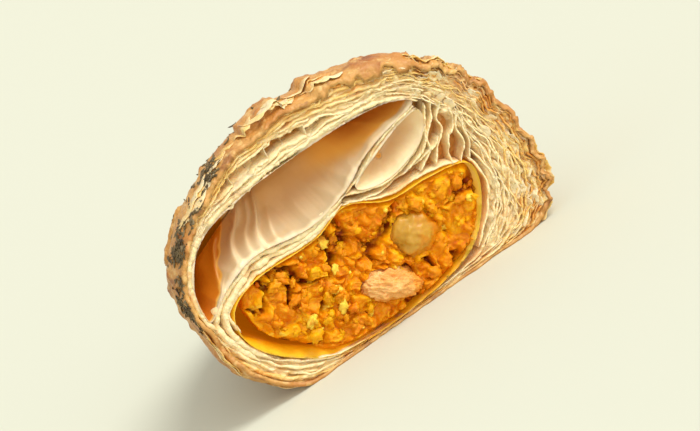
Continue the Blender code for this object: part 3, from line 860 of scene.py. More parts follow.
def bag(bm, outline, sink, columns, rows, shade_rule, fold_height, lip=BAG_LIP, back_rows=8, membrane=False):
    """Adds a bag whose mouth is the outline, with soft folds in its wall and a wavy lip.

    A bag ends in a point on each of its faces. A membrane has a few sharp creases as well, and its two faces
    meet at the far end.
    """
    mouth = []
    for _, spot, normal in ring(outline, columns):
        ragged = 0.35 * abs(wave(spot.x, spot.y, 2.0, 0.9)) + lip * wave(spot.x, spot.y, 4.0, 5.0)
        mouth.append((spot, normal, ragged))

    def rule(column, row):
        spot, normal, ragged = mouth[column]
        hidden = row > rows
        share = 1.0 - (1.0 - (row - rows) / back_rows) ** 1.6 if hidden else (1.0 - row / rows) ** 1.3
        flat, behind = sink(spot, normal, share)
        behind += ragged * (1.0 - share)
        crease = abs(noise.noise(Vector((flat.x * 0.2 + 0.03 * flat.y, flat.y * 0.06, behind * 0.05))))
        fold = fold_height * (0.5 - crease + 0.25 * wave(flat.x, flat.y, behind, 6.0))
        ends = smooth_step(share * 7.0) * smooth_step((1.0 - share) * 8.0)
        if membrane:
            behind -= CREASE_RISE * creases(flat) * ends
        flat = flat - normal * max(0.0, fold) * ends
        if hidden:
            apart = 0.0 if membrane and share >= 0.99 else BAG_WALL * smooth_step(share * 12.0)
            flat = flat + normal * apart
            behind += apart
        shade = 0.1 if hidden else shade_rule(flat.x, flat.y, behind)
        return place(flat.x, flat.y, behind), clamp(shade), behind / FULL_DEEP

    shaped_grid(bm, columns, rows + back_rows, rule)


# %% [markdown]
# The painted shade and glow on the large pocket's wall follow what one sees, not how far along the membrane a
# spot lies. The camera looks a little from the left and from above. So a spot further back shows further left
# in the picture and higher up, by a share of its depth.

# %% Shades of the pockets
FOLD_END_LINE = -46.4
SIGHT_LEFT = 0.12
SIGHT_UP = 0.29
SCORCH = (11.0, 27.9)
SCORCH_RADIUS = 0.8
SMALL_POCKET_DEPTH = 5.5
CHAMBER_DEPTH = 46.0
CHAMBER_FLARE = 2.0

# Columns and rows of each bag's mesh.
LARGE_POCKET_MESH = (400, 64)
SMALL_POCKET_MESH = (180, 36)
CHAMBER_MESH = (360, 44)


def large_pocket_shade(x, z, depth):
    """Painted shade and glow on the wall: deep gold at the fold side's end, gold under the roof, most at its
    right, and a little darker just behind the lip. Creases stay pale as painted highlights.
    """
    seen_x, seen_z = x - SIGHT_LEFT * depth, z + SIGHT_UP * depth
    across = seen_x - POCKET_LEAN * seen_z + 0.9 * wave(seen_x, seen_z, 5.0, 2.4)
    # Painted glow and shade of the deep hollow at the fold side's end.
    fold_end = 0.8 * smooth_step((FOLD_END_LINE - across) / 1.3) * smooth_step((depth - 0.4) / 1.2)
    # Painted shade under the roof.
    roof = 0.55 * smooth_step((seen_z - 29.5) / 7.0) * (0.3 + 0.7 * smooth_step((seen_x + 6.0) / 16.0))
    # Painted shade just behind the lip.
    lip = 0.14 * smooth_step(depth / 1.5)
    # The creases lower the shade, a painted highlight.
    return 0.06 + lip + fold_end + roof * smooth_step((depth - 0.8) / 2.0) - 0.2 * creases(Vector((x, z)))


def small_pocket_shade(x, z, depth):
    """One scorched spot on a cream wall, which also takes the finish's painted glow, and a little painted shade
    just behind the lip.
    """
    away = math.hypot(x - SCORCH[0], z - SCORCH[1])
    return smooth_step(depth / 2.0) * (0.08 + 0.75 * smooth_step((SCORCH_RADIUS - away) / 0.5))


def pockets_piece():
    """Builds the two air pockets."""
    bm = new_mesh()
    large, small = Outline(LARGE_POCKET_POINTS), Outline(SMALL_POCKET_POINTS)
    small_sink = sink_to_middle(small, SMALL_POCKET_DEPTH, roundness=1.5)
    bag(bm, large, sink_to_spine, *LARGE_POCKET_MESH, large_pocket_shade, 1.1, back_rows=14, membrane=True)
    bag(bm, small, small_sink, *SMALL_POCKET_MESH, small_pocket_shade, 0.5, 0.3)
    finish_piece("pocket_walls", bm, POCKET_FINISH, "baked_pastry", "pastry")


def chamber_piece():
    """Builds the stained sheet round the filling."""
    bm = new_mesh()
    outline = Outline(CHAMBER_POINTS)
    sink = sink_to_middle(outline, CHAMBER_DEPTH, CHAMBER_FLARE)
    bag(bm, outline, sink, *CHAMBER_MESH, lambda x, z, depth: 0.5, 0.5, 0.25)
    finish_piece("stained_sheet", bm, STAINED_AND_SHADED_FINISH, "baked_pastry", "pastry")


pockets_piece()
chamber_piece()

# %% [markdown]
# ## Layers between the hollows
#
# The dough between two hollows is layered too. Each of these layers is a ribbon that follows an open line on
# the cut, with the same torn front as the rim's sheets. Thick ones carry the large pocket's floor and line its
# roof, thin ones part under the small pocket and along the ridge above it, and a fan of them closes the tall
# cells next to the open edge. Each line below comes with the ribbon's thickness.

# %% Ribbons
RIBBONS = [
    ([(-30.4, 9.6), (-32.7, 15.4), (-33.3, 20.2), (-30.8, 23.3), (-25.0, 25.8), (-20.1, 26.8), (-9.0, 25.3),
      (0.8, 27.3)], 1.2),
    ([(-28.0, 8.2), (-31.2, 14.2), (-31.9, 19.4), (-29.2, 22.6), (-24.6, 24.8), (-20.0, 25.3), (-9.4, 24.5),
      (-0.6, 26.4)], 1.2),
    ([(-30.3, 16.4), (-30.6, 20.6), (-27.2, 22.8), (-20.0, 24.3), (-9.5, 24.0), (-0.9, 26.0)], 0.7),
    ([(0.0, 27.0), (8.6, 24.7), (16.2, 26.4), (20.6, 29.4)], 0.5),
    ([(-1.6, 26.0), (6.4, 23.6), (12.0, 23.9), (18.6, 24.6), (21.6, 26.0)], 0.35),
    ([(-0.6, 26.0), (7.4, 22.3), (15.2, 21.7), (22.4, 20.0)], 0.5),
    ([(12.0, 24.0), (17.5, 25.6), (20.2, 28.6), (22.4, 33.2)], 0.4),
    ([(15.0, 22.4), (18.6, 24.6), (19.6, 27.2), (22.6, 30.4), (24.0, 33.4)], 0.35),
    ([(18.4, 21.6), (20.4, 24.3), (22.9, 26.9), (23.2, 29.4), (25.4, 31.8)], 0.4),
    ([(21.0, 20.0), (22.0, 22.4), (22.7, 24.4), (25.2, 26.2), (26.4, 30.0)], 0.35),
    ([(22.6, 19.2), (24.9, 22.2), (25.4, 25.6), (27.4, 28.6)], 0.4),
    ([(23.9, 18.6), (26.0, 21.6), (26.5, 25.0), (28.4, 28.0)], 0.35),
    ([(23.9, 19.4), (24.9, 16.8), (24.6, 12.6), (21.3, 7.6), (16.4, 3.4)], 0.5),
    ([(25.2, 20.4), (26.2, 16.8), (26.0, 12.0), (22.8, 6.6), (17.8, 2.6)], 0.4),
    ([(26.6, 21.6), (27.4, 16.8), (27.3, 11.6), (24.2, 5.8), (19.8, 1.8)], 0.35),
    ([(0.4, 27.2), (5.4, 28.9), (9.4, 31.0), (15.2, 33.0), (20.6, 33.8)], 0.5),
    ([(-33.9, 19.6), (-34.8, 23.0), (-34.2, 28.2), (-31.8, 32.8), (-27.2, 36.5), (-21.0, 38.4),
      (-15.0, 39.2)], 1.1),
    ([(-19.0, 38.8), (-9.0, 39.6), (-1.0, 39.7), (7.0, 39.5), (13.4, 38.7), (18.8, 36.8), (22.0, 34.0)], 0.9),
]
RIBBON_COLUMNS = 150
RIBBON_WANDER = 0.3


def open_curve(points, share):
    """A point of the smooth open curve through the points."""
    corners = [Vector(point) for point in points]
    padded = [2 * corners[0] - corners[1], *corners, 2 * corners[-1] - corners[-2]]
    position = min(share, 0.9999) * (len(points) - 1)
    start = int(position)
    return curve_between(*padded[start:start + 4], position - start)


def ribbons_piece():
    """Builds the layers between the hollows."""
    bm = new_mesh()
    for index, (points, thickness) in enumerate(RIBBONS):
        line = [open_curve(points, k / RIBBON_COLUMNS) for k in range(RIBBON_COLUMNS + 1)]

        def rule(column, row, index=index, line=line, thickness=thickness):
            along = line[min(RIBBON_COLUMNS, column + 1)] - line[max(0, column - 1)]
            out = Vector((-along.y, along.x)).normalized()
            face, behind = plate_row(row, SHEET_DEPTHS)
            even = line[column]
            pinch = smooth_step(min(column, RIBBON_COLUMNS - column) / (0.06 * RIBBON_COLUMNS))
            thick = thickness * pinch * (0.6 + 0.4 * smooth_step(behind / 0.5))
            thick *= 1.0 + 0.5 * wave(even.x, even.y, index * 5.0 + 3.0, 2.2)
            shift = RIBBON_WANDER * wave(even.x, even.y, index * 2.6 + behind * 0.3, 2.6)
            flat = even + out * (shift + face * 0.5 * thick)
            depth = 0.8 * torn(even, 40 + index) + behind
            return place(flat.x, flat.y, depth), 0.15, depth / FULL_DEEP

        shaped_grid(bm, RIBBON_COLUMNS, 2 * len(SHEET_DEPTHS), rule)
    finish_piece("dividing_flakes", bm, FLAKE_FINISH, "baked_pastry", "pastry")


ribbons_piece()

# %% [markdown]
# Behind the parted fronts the layers are pressed together into plain crumb. A flat outline with holes for
# the hollows, drawn as a 2D curve and given a thickness, closes the gaps a few millimetres back.

# %% Crumb behind the layers
CRUMB_FRONT = 4.2
CRUMB_THICK = 5.0
CRUMB_STEPS = 8
CRUMB_OUTLINES = [
    (CRUST_POINTS, -1.4),
    (CHAMBER_POINTS, 0.3),
    (LARGE_POCKET_POINTS, 0.3),
    (SMALL_POCKET_POINTS, 0.3),
]


def crumb_piece():
    """Builds the crumb from a flat curve with holes."""
    drawing = bpy.data.curves.new("crumb_outline", "CURVE")
    drawing.dimensions = "2D"
    drawing.fill_mode = "BOTH"
    drawing.extrude = 0.5 * CRUMB_THICK * MM
    for points, offset in CRUMB_OUTLINES:
        outline = Outline(points)
        spline = drawing.splines.new("POLY")
        spline.points.add(len(points) * CRUMB_STEPS - 1)
        spline.use_cyclic_u = True
        for k, corner in enumerate(spline.points):
            position = k / CRUMB_STEPS
            flat = outline.spot(position) + outline.normal(position) * offset
            corner.co = (flat.x * MM, flat.y * MM, 0.0, 1.0)
    holder = add_object("crumb_outline", drawing)
    bpy.context.view_layer.update()
    mesh = bpy.data.meshes.new_from_object(holder.evaluated_get(bpy.context.evaluated_depsgraph_get()))
    bpy.data.objects.remove(holder)
    bm = new_mesh()
    bm.from_mesh(mesh)
    bpy.data.meshes.remove(mesh)
    bmesh.ops.remove_doubles(bm, verts=bm.verts, dist=WELD)
    shade_layer, deep_layer = stored_layers(bm)
    for vert in bm.verts:
        depth = CRUMB_FRONT + 0.5 * CRUMB_THICK - vert.co.z / MM
        vert[shade_layer] = 0.5
        # A fixed depth gives the crumb the flakes' painted amber shade of the gaps.
        vert[deep_layer] = 0.25
        vert.co = place(vert.co.x / MM, max(0.6, vert.co.y / MM), depth) * MM
    finish_piece("crumb", bm, FLAKE_FINISH, "baked_pastry", "pastry")


crumb_piece()

# %% [markdown]
# ## Loose flakes
#
# At the open edge the outer sheets break into leaves that curl away, so their faces show from the front. A
# leaf is a thin closed plate in the outline's own terms: it starts at its root inside the pastry, comes
# forward and lifts off, and its ends taper away. A bunch of leaves is a row of a table: how many, the first
# seed and the step between seeds, then from and to for a leaf's position, depth, half length, width, root,
# rise and shade. The bunches are small curls in the open edge, leaves at the fold's foot, leaves on the top
# and large golden ones at the right end.

# %% Leaves
LEAF_COLUMNS = 18
LEAF_ROWS = [1.0, 0.78, 0.55, 0.33, 0.14, 0.0]
LEAF_THICK = 0.26
LEAF_SEED = 23
OPEN_EDGE_LEAVES = 64
FLANK_LEAVES = 90
LEAF_BUNCHES = [
    (70, 200.0, 2.3, (7.2, 11.6), (-0.2, 0.9), (0.8, 2.4), (1.0, 2.6), (0.02, 0.8), (0.3, 1.6), (0.0, 0.35)),
    (16, 300.0, 3.1, (0.1, 2.4), (0.0, 2.5), (3.0, 7.0), (2.5, 5.0), (0.6, 1.0), (0.1, 0.7), (0.5, 0.9)),
    (14, 500.0, 5.3, (3.6, 7.2), (-0.2, 3.0), (3.0, 7.5), (3.0, 6.0), (0.9, 1.0), (0.2, 0.8), (0.5, 0.95)),
    (9, 600.0, 4.1, (8.7, 10.8), (0.0, 1.6), (3.5, 6.5), (4.0, 6.0), (0.6, 0.88), (1.9, 2.8), (0.85, 1.1)),
]


def leaf(bm, position, depth, half_length, width, inner_share, rise, shade, seed):
    """Adds one leaf round a position of the outline. The inner share says how near the crust its root lies."""
    middle = EVEN_CRUST.shares[round(position * EVEN_CRUST.SAMPLES) % len(EVEN_CRUST.shares)]
    columns = []
    for column in range(LEAF_COLUMNS + 1):
        along = 2.0 * column / LEAF_COLUMNS - 1.0
        here = EVEN_CRUST.position_at(middle + along * half_length / EVEN_CRUST.length)
        outer, normal = EVEN_CRUST.spot(here), EVEN_CRUST.normal(here)
        lift, _ = crust_relief(here, outer.x, outer.y, depth + width)
        base = curve_point(CORE_POINTS, here).lerp(outer + normal * lift, inner_share)
        columns.append((base, normal, max(0.0, 1.0 - along * along) ** 0.4))

    def rule(column, row):
        base, normal, taper = columns[column]
        face, to_root = plate_row(row, LEAF_ROWS)
        ragged = 0.9 * wave(base.x, base.y, seed, 1.4) + 0.5 * wave(base.x, base.y, seed + 7.0, 0.6)
        reach = width * taper * (1.0 + 0.2 * ragged)
        behind = depth + width - reach * (1.0 - to_root)
        curl = rise * (1.0 - to_root) ** 1.5 * taper * (1.0 + 0.5 * wave(base.x, base.y, seed + 20.0, 4.0))
        wobble = 0.3 * wave(base.x, base.y, seed + behind * 0.4, 2.2) * (1.0 - to_root)
        sunk = -0.7 * to_root ** 2
        thick = LEAF_THICK * (0.2 + 0.8 * taper) * (0.4 + 0.6 * smooth_step(to_root * 4.0))
        flat = base + normal * (curl + wobble + sunk + face * 0.5 * thick)
        brown = shade + 0.3 * (1.0 - to_root) * wave(base.x, base.y, seed, 3.0)
        return place(flat.x, max(0.15, flat.y), behind), clamp(brown), max(0.0, behind) / FULL_DEEP

    shaped_grid(bm, LEAF_COLUMNS, 2 * len(LEAF_ROWS), rule)


def cut_leaves():
    """Leaves round the cut: large ones at the open edge, deeper the further out they root, then the bunches."""
    draw = random.Random(LEAF_SEED)
    bm = new_mesh()
    for index in range(OPEN_EDGE_LEAVES):
        position = draw.uniform(7.3, 11.9)
        inner_share = draw.uniform(0.35, 1.0)
        outward = smooth_step((inner_share - 0.5) / 0.5)
        depth = draw.uniform(0.2, 1.2) + 3.6 * outward * draw.random()
        half_length, width = draw.uniform(2.5, 7.0), draw.uniform(2.5, 5.5)
        rise = draw.uniform(0.6, 2.2) * (1.0 - 0.45 * outward)
        leaf(bm, position, depth, half_length, width, inner_share, rise, 0.3 + 0.5 * inner_share, index * 3.7)
    for count, first_seed, seed_step, *ranges in LEAF_BUNCHES:
        for index in range(count):
            leaf(bm, *(draw.uniform(low, high) for low, high in ranges), first_seed + index * seed_step)
    finish_piece("curled_flakes", bm, FLAKE_FINISH, "baked_pastry", "pastry")


def flank_leaves():
    """Long leaves along the layered edge behind the cut."""
    draw = random.Random(LEAF_SEED + 1)
    bm = new_mesh()
    for index in range(FLANK_LEAVES):
        depth, position = draw.uniform(4.0, 52.0), draw.uniform(8.0, 11.9)
        half_length, width = draw.uniform(3.0, 8.0), draw.uniform(3.0, 7.0)
        rise, shade = draw.uniform(0.1, 0.7), draw.uniform(0.45, 1.0)
        leaf(bm, position, depth, half_length, width, 1.0, rise, shade, 800.0 + index * 2.9)
    finish_piece("edge_flakes", bm, FLAKE_FINISH, "baked_pastry", "pastry")


cut_leaves()
flank_leaves()

# %% [markdown]
# ## The filling's finishes
#
# The mince is orange from its spices. Each lump has its own stored shade, with yellow crumbs of potato among
# them, and the crevices get a painted shade of dark red-brown. The potato shows as a dull yellow, half clear
# lump, and the chicken as a pale salmon one.

# %% Filling finishes
MINCE_FINISH = Finish("spiced mince", (224, 134, 0), [
    ("shade", 0.5, 0.78, (238, 164, 2), 1.0),
    ("shade", 0.86, 0.96, (248, 206, 70), 1.0),
    ("shade", 0.36, 0.12, (218, 108, 0), 1.0),
    (420.0, 0.56, 0.7, (206, 92, 0), 0.55),
    (620.0, 0.55, 0.7, (246, 182, 16), 0.5),
    # Painted shade in the crevices.
    ("deep", 0.3, 0.9, (128, 44, 0), 1.0),
], roughness=0.5, subsurface=0.25, scatter=(1.0, 0.45, 0.1), gloss=0.2).grain(1300.0, 0.00022)

POTATO_FINISH = Finish("boiled potato", (192, 142, 40), [
    (260.0, 0.45, 0.65, (210, 162, 66), 0.5),
    (190.0, 0.48, 0.62, (204, 126, 4), 0.75),
    ("deep", 0.5, 0.95, (220, 130, 0), 0.9),
], roughness=0.36, subsurface=0.4, scatter=(1.0, 0.7, 0.25), reach=0.003, gloss=0.35).grain(1100.0, 0.00009)

CHICKEN_FINISH = Finish("cooked chicken", (228, 166, 88), [
    (330.0, 0.48, 0.66, (240, 190, 120), 0.6),
    (240.0, 0.5, 0.66, (228, 140, 44), 0.6),
    ("deep", 0.6, 0.95, (228, 142, 20), 0.7),
], roughness=0.5, subsurface=0.35, scatter=(1.0, 0.5, 0.3), gloss=0.3).grain(1300.0, 0.00014)

# %% [markdown]
# ## The filling
#
# The mince is a body that runs back into the turnover, with a craggy cut face. The crags come from Voronoi
# cells of two sizes: each cell is a rounded lump with its own shade, and the seams between cells are the
# crevices. Loose lumps are set into the face afterwards, because they overhang as real mince does.

# %% Filling body
FILLING_COLUMNS = 410
FACE_ROWS = 120
SIDE_ROWS = 30
FILLING_FACE = 1.1
BIG_LUMP = 3.1
SMALL_LUMP = 1.25
CLUMP = 6.4
LUMP_RISE = 0.9
SMALL_RISE = 0.25
RIFT_DEPTH = 2.8
BARED_DEPTH = 0.9
FILLING_REACH = 41.0

# The larger pieces: the middle (x, depth, z), half the size, the turn in degrees and a number for the noise.
POTATO = ((7.8, 3.5, 12.9), (5.1, 4.4, 4.8), 20.0, 3.0)
CHICKEN = ((-1.6, 2.3, 7.4), (6.1, 4.2, 3.3), -33.0, 8.0)


def reach_of(sizes, x, z, grown=0.0):
    """0 at the middle of a larger piece and 1 at its outline, grown by some millimetres."""
    centre, half, turn, _ = sizes
    away = Matrix.Rotation(math.radians(-turn), 2) @ Vector((x - centre[0], z - centre[2]))
    return math.hypot(away.x / (half[0] + grown), away.y / (half[2] + grown))


def bared(x, z):
    """1 where a larger piece shows in the face of the mince, 0 away from it."""
    reach = min(reach_of(sizes, x, z) for sizes in (POTATO, CHICKEN)) + 0.3 * wave(x, z, 70.0, 2.2)
    return smooth_step((1.0 - reach) / 0.2)


def cell(x, z, size, seed):
    """Distance to the nearest lump's middle, to the next one, and a number that belongs to the lump."""
    distances, middles = noise.voronoi(Vector((x / size, z / size, seed)))
    owner = middles[0]
    number = abs(math.sin(owner.x * 12.9898 + owner.y * 78.233 + owner.z * 37.7)) * 43758.5453 % 1.0
    return distances[0], distances[1], number


def mince_height(x, z):
    """How far the mince's face stands out, its shade, and how deep the spot lies in a crevice, which the finish
    paints as shade.
    """
    warp_x = x + 1.1 * wave(x, z, 1.0, 2.4) + 0.35 * wave(x, z, 3.0, 0.8)
    warp_z = z + 1.1 * wave(x, z, 8.0, 2.4) + 0.35 * wave(x, z, 6.0, 0.8)
    near, second, number = cell(warp_x, warp_z, BIG_LUMP, 0.3)
    small_near, small_second, small_number = cell(warp_x, warp_z, SMALL_LUMP, 5.7)
    clump_near, clump_second, _ = cell(warp_x, warp_z, CLUMP, 9.1)
    seam = smooth_step((second - near) / 0.3)
    small_seam = smooth_step((small_second - small_near) / 0.4)
    opened = smooth_step((wave(x, z, 21.0, 6.0) - 0.02) / 0.25)
    rift = (1.0 - smooth_step((clump_second - clump_near) / 0.22)) * opened
    height = LUMP_RISE * (1.0 - near * near) * seam + SMALL_RISE * small_seam * (0.4 + small_number)
    height += 0.3 * wave(x, z, 31.0, 0.8) + 0.4 * wave(x, z, 37.0, 1.7) + 0.8 * wave(x, z, 44.0, 8.0)
    height -= RIFT_DEPTH * rift + 0.5 * (1.0 - seam)
    height -= (height + BARED_DEPTH) * bared(x, z)
    shade = 0.4 * number + 0.2 * small_number + 0.25 + 0.35 * wave(x, z, 50.0, 2.4)
    # Depth in a crevice, which the finish paints as dark shade.
    crevice = max(0.75 * rift + 0.25 * rift * (1.0 - small_seam), 0.45 * (1.0 - seam) * (1.0 - small_seam))
    return height, shade, crevice


def filling_piece():
    """Builds the filling's body."""
    outline = Outline(FILLING_POINTS)
    columns = ring(outline, FILLING_COLUMNS)

    def rule(column, row):
        _, spot, normal = columns[column]
        if row <= FACE_ROWS:
            share = row / FACE_ROWS
            flat = outline.middle + (spot - outline.middle) * share
            height, shade, crevice = mince_height(flat.x, flat.y)
            edge = smooth_step((1.0 - share) / 0.06)
            depth = FILLING_FACE + (1.0 - edge) * 1.3 - height * (0.5 + 0.5 * edge)
            return place(flat.x, flat.y, depth), shade, crevice
        share = (row - FACE_ROWS) / SIDE_ROWS
        shrink = math.sqrt(max(0.0, 1.0 - share ** 2.6))
        depth = FILLING_FACE + 2.2 + FILLING_REACH * share ** 1.3
        rough = -0.3 + 0.5 * wave(spot.x, spot.y, depth, 2.4) + 0.35 * wave(spot.x, spot.y, depth, 0.9)
        flat = outline.middle + (spot - outline.middle) * shrink + normal * rough * shrink
        return place(flat.x, flat.y, depth), 0.45, 0.3

    rows = FACE_ROWS + SIDE_ROWS
    grid_piece("mince", FILLING_COLUMNS, rows, rule, MINCE_FINISH, "masala_filling", "filling")


filling_piece()

# %% [markdown]
# ## Potato, chicken and loose lumps
#
# Each is a lump from `create_icosphere`, squared a little where a knife cut it, and roughened by noise. The
# chicken gets fine ridges along its length, for the fibres of the meat. The stored depth grows towards a
# larger piece's rim, where the spices have stained it.

# %% Larger pieces
BOXINESS = 0.06
PIECE_LUMPINESS = 0.12
LOOSE_LUMPINESS = 0.5


def lump(bm, centre, half, turn, pattern, rough, fibre, level, shade=0.5, loose=False):
    """Adds a lump at a section place (x, depth, z). A loose one is rounder, less even and of one shade."""
    shade_layer, deep_layer = stored_layers(bm)
    boxiness, lumpiness = (0.0, LOOSE_LUMPINESS) if loose else (BOXINESS, PIECE_LUMPINESS)
    tilt = Matrix.Rotation(math.radians(-turn), 3, "Y")
    made = bmesh.ops.create_icosphere(bm, subdivisions=level, radius=1.0)["verts"]
    for vert in made:
        way = vert.co.normalized()
        boxy = 1.0 / max(abs(c) for c in way) ** boxiness
        lumpy = 1.0 + lumpiness * noise.noise(way * 1.6 + Vector((pattern, 0.0, 0.0)))
        grain = rough * noise.fractal(way * 2.8 + Vector((0.0, pattern, 0.0)), 0.8, 2.1, 4)
        strand = fibre * noise.noise(Vector((way.x * 1.2, way.y * 9.0, way.z * 11.0 + pattern)))
        spot = Vector([c * h * boxy * lumpy for c, h in zip(way, half)]) + way * (grain + strand)
        spot = tilt @ spot + Vector(centre)
        vert.co = place(spot.x, spot.z, 0.0) * MM + Vector((0.0, spot.y * MM, 0.0))
        vert[shade_layer] = shade
        vert[deep_layer] = 0.0 if loose else way.x ** 2 + way.z ** 2 + 0.35 * (way.x - way.z)


def large_piece(name, sizes, finish, slot, node, rough, fibre, level):
    """Builds one larger piece."""
    bm = new_mesh()
    lump(bm, *sizes, rough, fibre, level)
    finish_piece(name, bm, finish, slot, node)


large_piece("potato", POTATO, POTATO_FINISH, "boiled_potato", "potato_piece", 0.45, 0.0, 5)
large_piece("chicken", CHICKEN, CHICKEN_FINISH, "chicken_meat", "chicken_piece", 0.7, 0.16, 6)

# %% Loose lumps of mince
LUMP_COUNT = 220
LUMP_SEED = 4
YELLOW_SHARE = 0.12
SPOT_STEP = 6


def inside(outline, spot, margin):
    """True where a section point lies inside an outline by at least the margin."""
    crossings = 0
    nearest = math.inf
    for a, b in zip(outline.spots[::SPOT_STEP], outline.spots[SPOT_STEP::SPOT_STEP]):
        nearest = min(nearest, (spot - a).length)
        if (a.y > spot.y) != (b.y > spot.y) and spot.x < a.x + (spot.y - a.y) / (b.y - a.y) * (b.x - a.x):
            crossings += 1
    return crossings % 2 == 1 and nearest > margin


def loose_lumps():
    """Builds the lumps that stand on the mince's face."""
    draw = random.Random(LUMP_SEED)
    outline = Outline(FILLING_POINTS)
    bm = new_mesh()
    placed = 0
    while placed < LUMP_COUNT:
        radius = 0.3 + 1.2 * draw.random() ** 2.4
        spot = Vector((draw.uniform(-28.0, 24.0), draw.uniform(3.0, 25.0)))
        covered = any(reach_of(sizes, spot.x, spot.y, -0.5) < 1.0 for sizes in (POTATO, CHICKEN))
        if covered or not inside(outline, spot, radius + 0.3):
            continue
        height, around, _ = mince_height(spot.x, spot.y)
        half = (radius, radius * draw.uniform(0.6, 1.0), radius * draw.uniform(0.5, 0.9))
        centre = (spot.x, FILLING_FACE - height + 0.15 * radius, spot.y)
        yellow = draw.random() < YELLOW_SHARE
        shade = 0.95 if yellow else clamp(around + draw.gauss(0.0, 0.15), 0.1, 0.84)
        turn, pattern = draw.uniform(0.0, 180.0), draw.uniform(0.0, 90.0)
        level = 3 if radius > 0.7 else 2
        lump(bm, centre, half, turn, pattern, 0.34 * radius, 0.0, level, shade, loose=True)
        placed += 1
    finish_piece("mince_lumps", bm, MINCE_FINISH, "masala_filling", "filling")


loose_lumps()

# %% [markdown]
# ## Herbs
#
# Dried leaf bits were strewn on the dough before it was baked. They lie thick along the shoulder by the cut
# and thinly over the rest of the top. Each is a small flattened, curled blob with few faces.

# %% Herbs
HERB_COUNT = 600
HERB_CLUMPS = 38
HERB_CLUMP_SHARE = 0.72
HERB_STAND = 0.06
HERB_HALF_THICK = 0.13
HERB_SEED = 11

HERB_FINISH = Finish("dried herbs", (104, 86, 50), [
    ("shade", 0.3, 0.0, (70, 52, 30), 1.0),
    ("shade", 0.75, 1.0, (138, 118, 80), 1.0),
], roughness=0.7).grain(2500.0, 0.0001)


def herb_piece():
    """Scatters the herbs over the crust."""
    draw = random.Random(HERB_SEED)
    bm = new_mesh()
    shade_layer, _ = stored_layers(bm)
    clumps = [(draw.uniform(2.1, 4.7), 0.6 + 4.5 * draw.random() ** 1.4) for _ in range(HERB_CLUMPS)]
    for _ in range(HERB_COUNT):
        if draw.random() < HERB_CLUMP_SHARE:
            middle, middle_depth = draw.choice(clumps)
            position = draw.gauss(middle, 0.07)
            depth = max(0.2, draw.gauss(middle_depth, 0.7))
        else:
            position = draw.gauss(5.0, 0.9)
            depth = draw.uniform(2.0, 50.0)
        spot, normal = CRUST.spot(position), CRUST.normal(position)
        lift, _ = crust_relief(position, spot.x, spot.y, depth)
        flat = spot + normal * (lift + HERB_STAND)
        length = draw.uniform(0.3, 1.0)
        half = Vector((length, length * draw.uniform(0.25, 0.6), HERB_HALF_THICK))
        made = bmesh.ops.create_icosphere(bm, subdivisions=2, radius=1.0)["verts"]
        curl, seed = draw.uniform(-0.3, 0.4), draw.uniform(0.0, 50.0)
        turn = Matrix.Rotation(draw.uniform(0.0, math.pi), 4, "Z")
        turn = turn @ Matrix.Rotation(draw.gauss(0.0, 0.22), 4, "Y")
        upright = Vector((normal.x, 0.0, normal.y)).to_track_quat("Z", "Y").to_matrix().to_4x4()
        shade = draw.random()
        for vert in made:
            rag = 1.0 + 0.5 * noise.noise(vert.co * 1.4 + Vector((seed, 0.0, 0.0)))
            blob = Vector((vert.co.x * half.x * rag, vert.co.y * half.y * rag, vert.co.z * half.z))
            blob.z += curl * blob.x * blob.x / max(0.3, length)
            vert.co = blob * MM
            vert[shade_layer] = shade
        where = Matrix.Translation(place(flat.x, flat.y, depth) * MM) @ upright @ turn
        bmesh.ops.transform(bm, matrix=where, verts=made)
    finish_piece("herbs", bm, HERB_FINISH, "baked_pastry", "pastry")


herb_piece()

# %% [markdown]
# ## Camera
#
# The photo looks almost straight at the cut, a little from the fold side and from above the base, and the
# piece leans: its base line climbs to the right. The food itself lies flat here, so the camera is rolled
# until the base line climbs by the same angle.

# %% Camera
VIEW_AZIMUTH = -7.0
VIEW_ELEVATION = 16.0
BASE_LINE_CLIMB = 35.0
VIEW_DISTANCE = 0.62
VIEW_TARGET = Vector((-0.001, CUT_Y * MM, 0.0235))
LENS = 168.0

azimuth, elevation = math.radians(VIEW_AZIMUTH), math.radians(VIEW_ELEVATION)
towards_camera = Vector((math.sin(azimuth), -math.cos(azimuth), 0.0)) * math.cos(elevation)
towards_camera.z = math.sin(elevation)
base_line = Vector((1.0, 0.0, 0.0))
base_line = (base_line - towards_camera * base_line.dot(towards_camera)).normalized()
right = Quaternion(towards_camera, math.radians(-BASE_LINE_CLIMB)) @ base_line
up = towards_camera.cross(right)

camera_data = bpy.data.cameras.new("camera")
camera_data.lens = LENS
camera_data.clip_start = 0.01
camera = add_object("camera", camera_data)
turn = Matrix((right, up, towards_camera)).transposed().to_4x4()
camera.matrix_world = Matrix.Translation(VIEW_TARGET + towards_camera * VIEW_DISTANCE) @ turn
bpy.context.scene.camera = camera
print("camera up:", [round(c, 2) for c in up])

# %% [markdown]
# ## Floor, background and light
#
# The photo's ground and background are one pale cream with soft shadows. A wide floor takes the shadow. The
# world lights everything with neutral light but shows the camera the cream tone. A soft sun stands for the
# large lamp above, and a second, still softer one from near the camera fills the cut face. Suns light the
# whole floor evenly, so it keeps one tone.

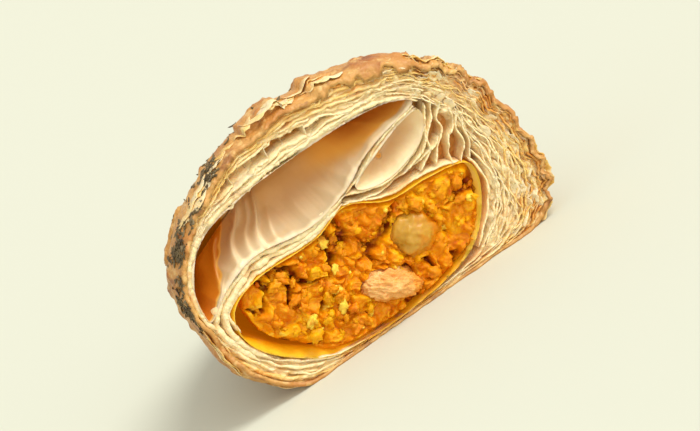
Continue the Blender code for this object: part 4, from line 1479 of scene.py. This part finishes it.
# %% Floor and lights
BACKGROUND = screen(245, 245, 221)
FLOOR_COLOUR = (0.655, 0.655, 0.52, 1.0)
WORLD_LIGHT = 0.74
SUN_STRENGTH = 2.2
SUN_ANGLE = 28.0
FILL_STRENGTH = 1.2
FILL_ANGLE = 70.0
FLOOR_RADIUS = 6.0


def floor_piece():
    """A wide round floor."""
    bm = bmesh.new()
    bmesh.ops.create_circle(bm, cap_ends=True, segments=96, radius=FLOOR_RADIUS)
    mesh = bpy.data.meshes.new("floor")
    bm.to_mesh(mesh)
    bm.free()
    paint = bpy.data.materials.new("pale floor")
    paint.use_nodes = True
    set_inputs(paint.node_tree, paint.node_tree.nodes["Principled BSDF"], {
        "Base Color": FLOOR_COLOUR, "Roughness": 1.0, "Specular IOR Level": 0.0})
    mesh.materials.append(paint)
    floor = add_object("floor", mesh)


def sunlight(name, direction, strength, angle):
    """A sun that shines from a direction onto the food. The wider its angle, the softer its shadows."""
    lamp = bpy.data.lights.new(name, "SUN")
    lamp.energy = strength
    lamp.angle = math.radians(angle)
    add_object(name, lamp).matrix_world = direction.to_track_quat("Z", "Y").to_matrix().to_4x4()


def world_light():
    """Neutral light from all round, with the cream tone where the camera sees past the floor."""
    world = bpy.data.worlds.new("studio")
    world.use_nodes = True
    tree = world.node_tree
    ambient = tree.nodes["Background"]
    set_inputs(tree, ambient, {"Color": (1.0, 1.0, 1.0, 1.0), "Strength": WORLD_LIGHT})
    seen = add_node(tree, "Background", {"Color": BACKGROUND}, "Background")
    camera_ray = add_node(tree, "LightPath", {}, "Is Camera Ray")
    light = add_node(tree, "MixShader", {
        "Fac": camera_ray, 1: ambient.outputs["Background"], 2: seen}, "Shader")
    set_inputs(tree, tree.nodes["World Output"], {"Surface": light})
    bpy.context.scene.world = world


floor_piece()
world_light()
sunlight("key light", up + towards_camera * 0.55 + right * 0.15, SUN_STRENGTH, SUN_ANGLE)
sunlight("fill light", towards_camera + right * 0.3 + up * 0.2, FILL_STRENGTH, FILL_ANGLE)
bpy.context.scene.view_settings.view_transform = "Standard"
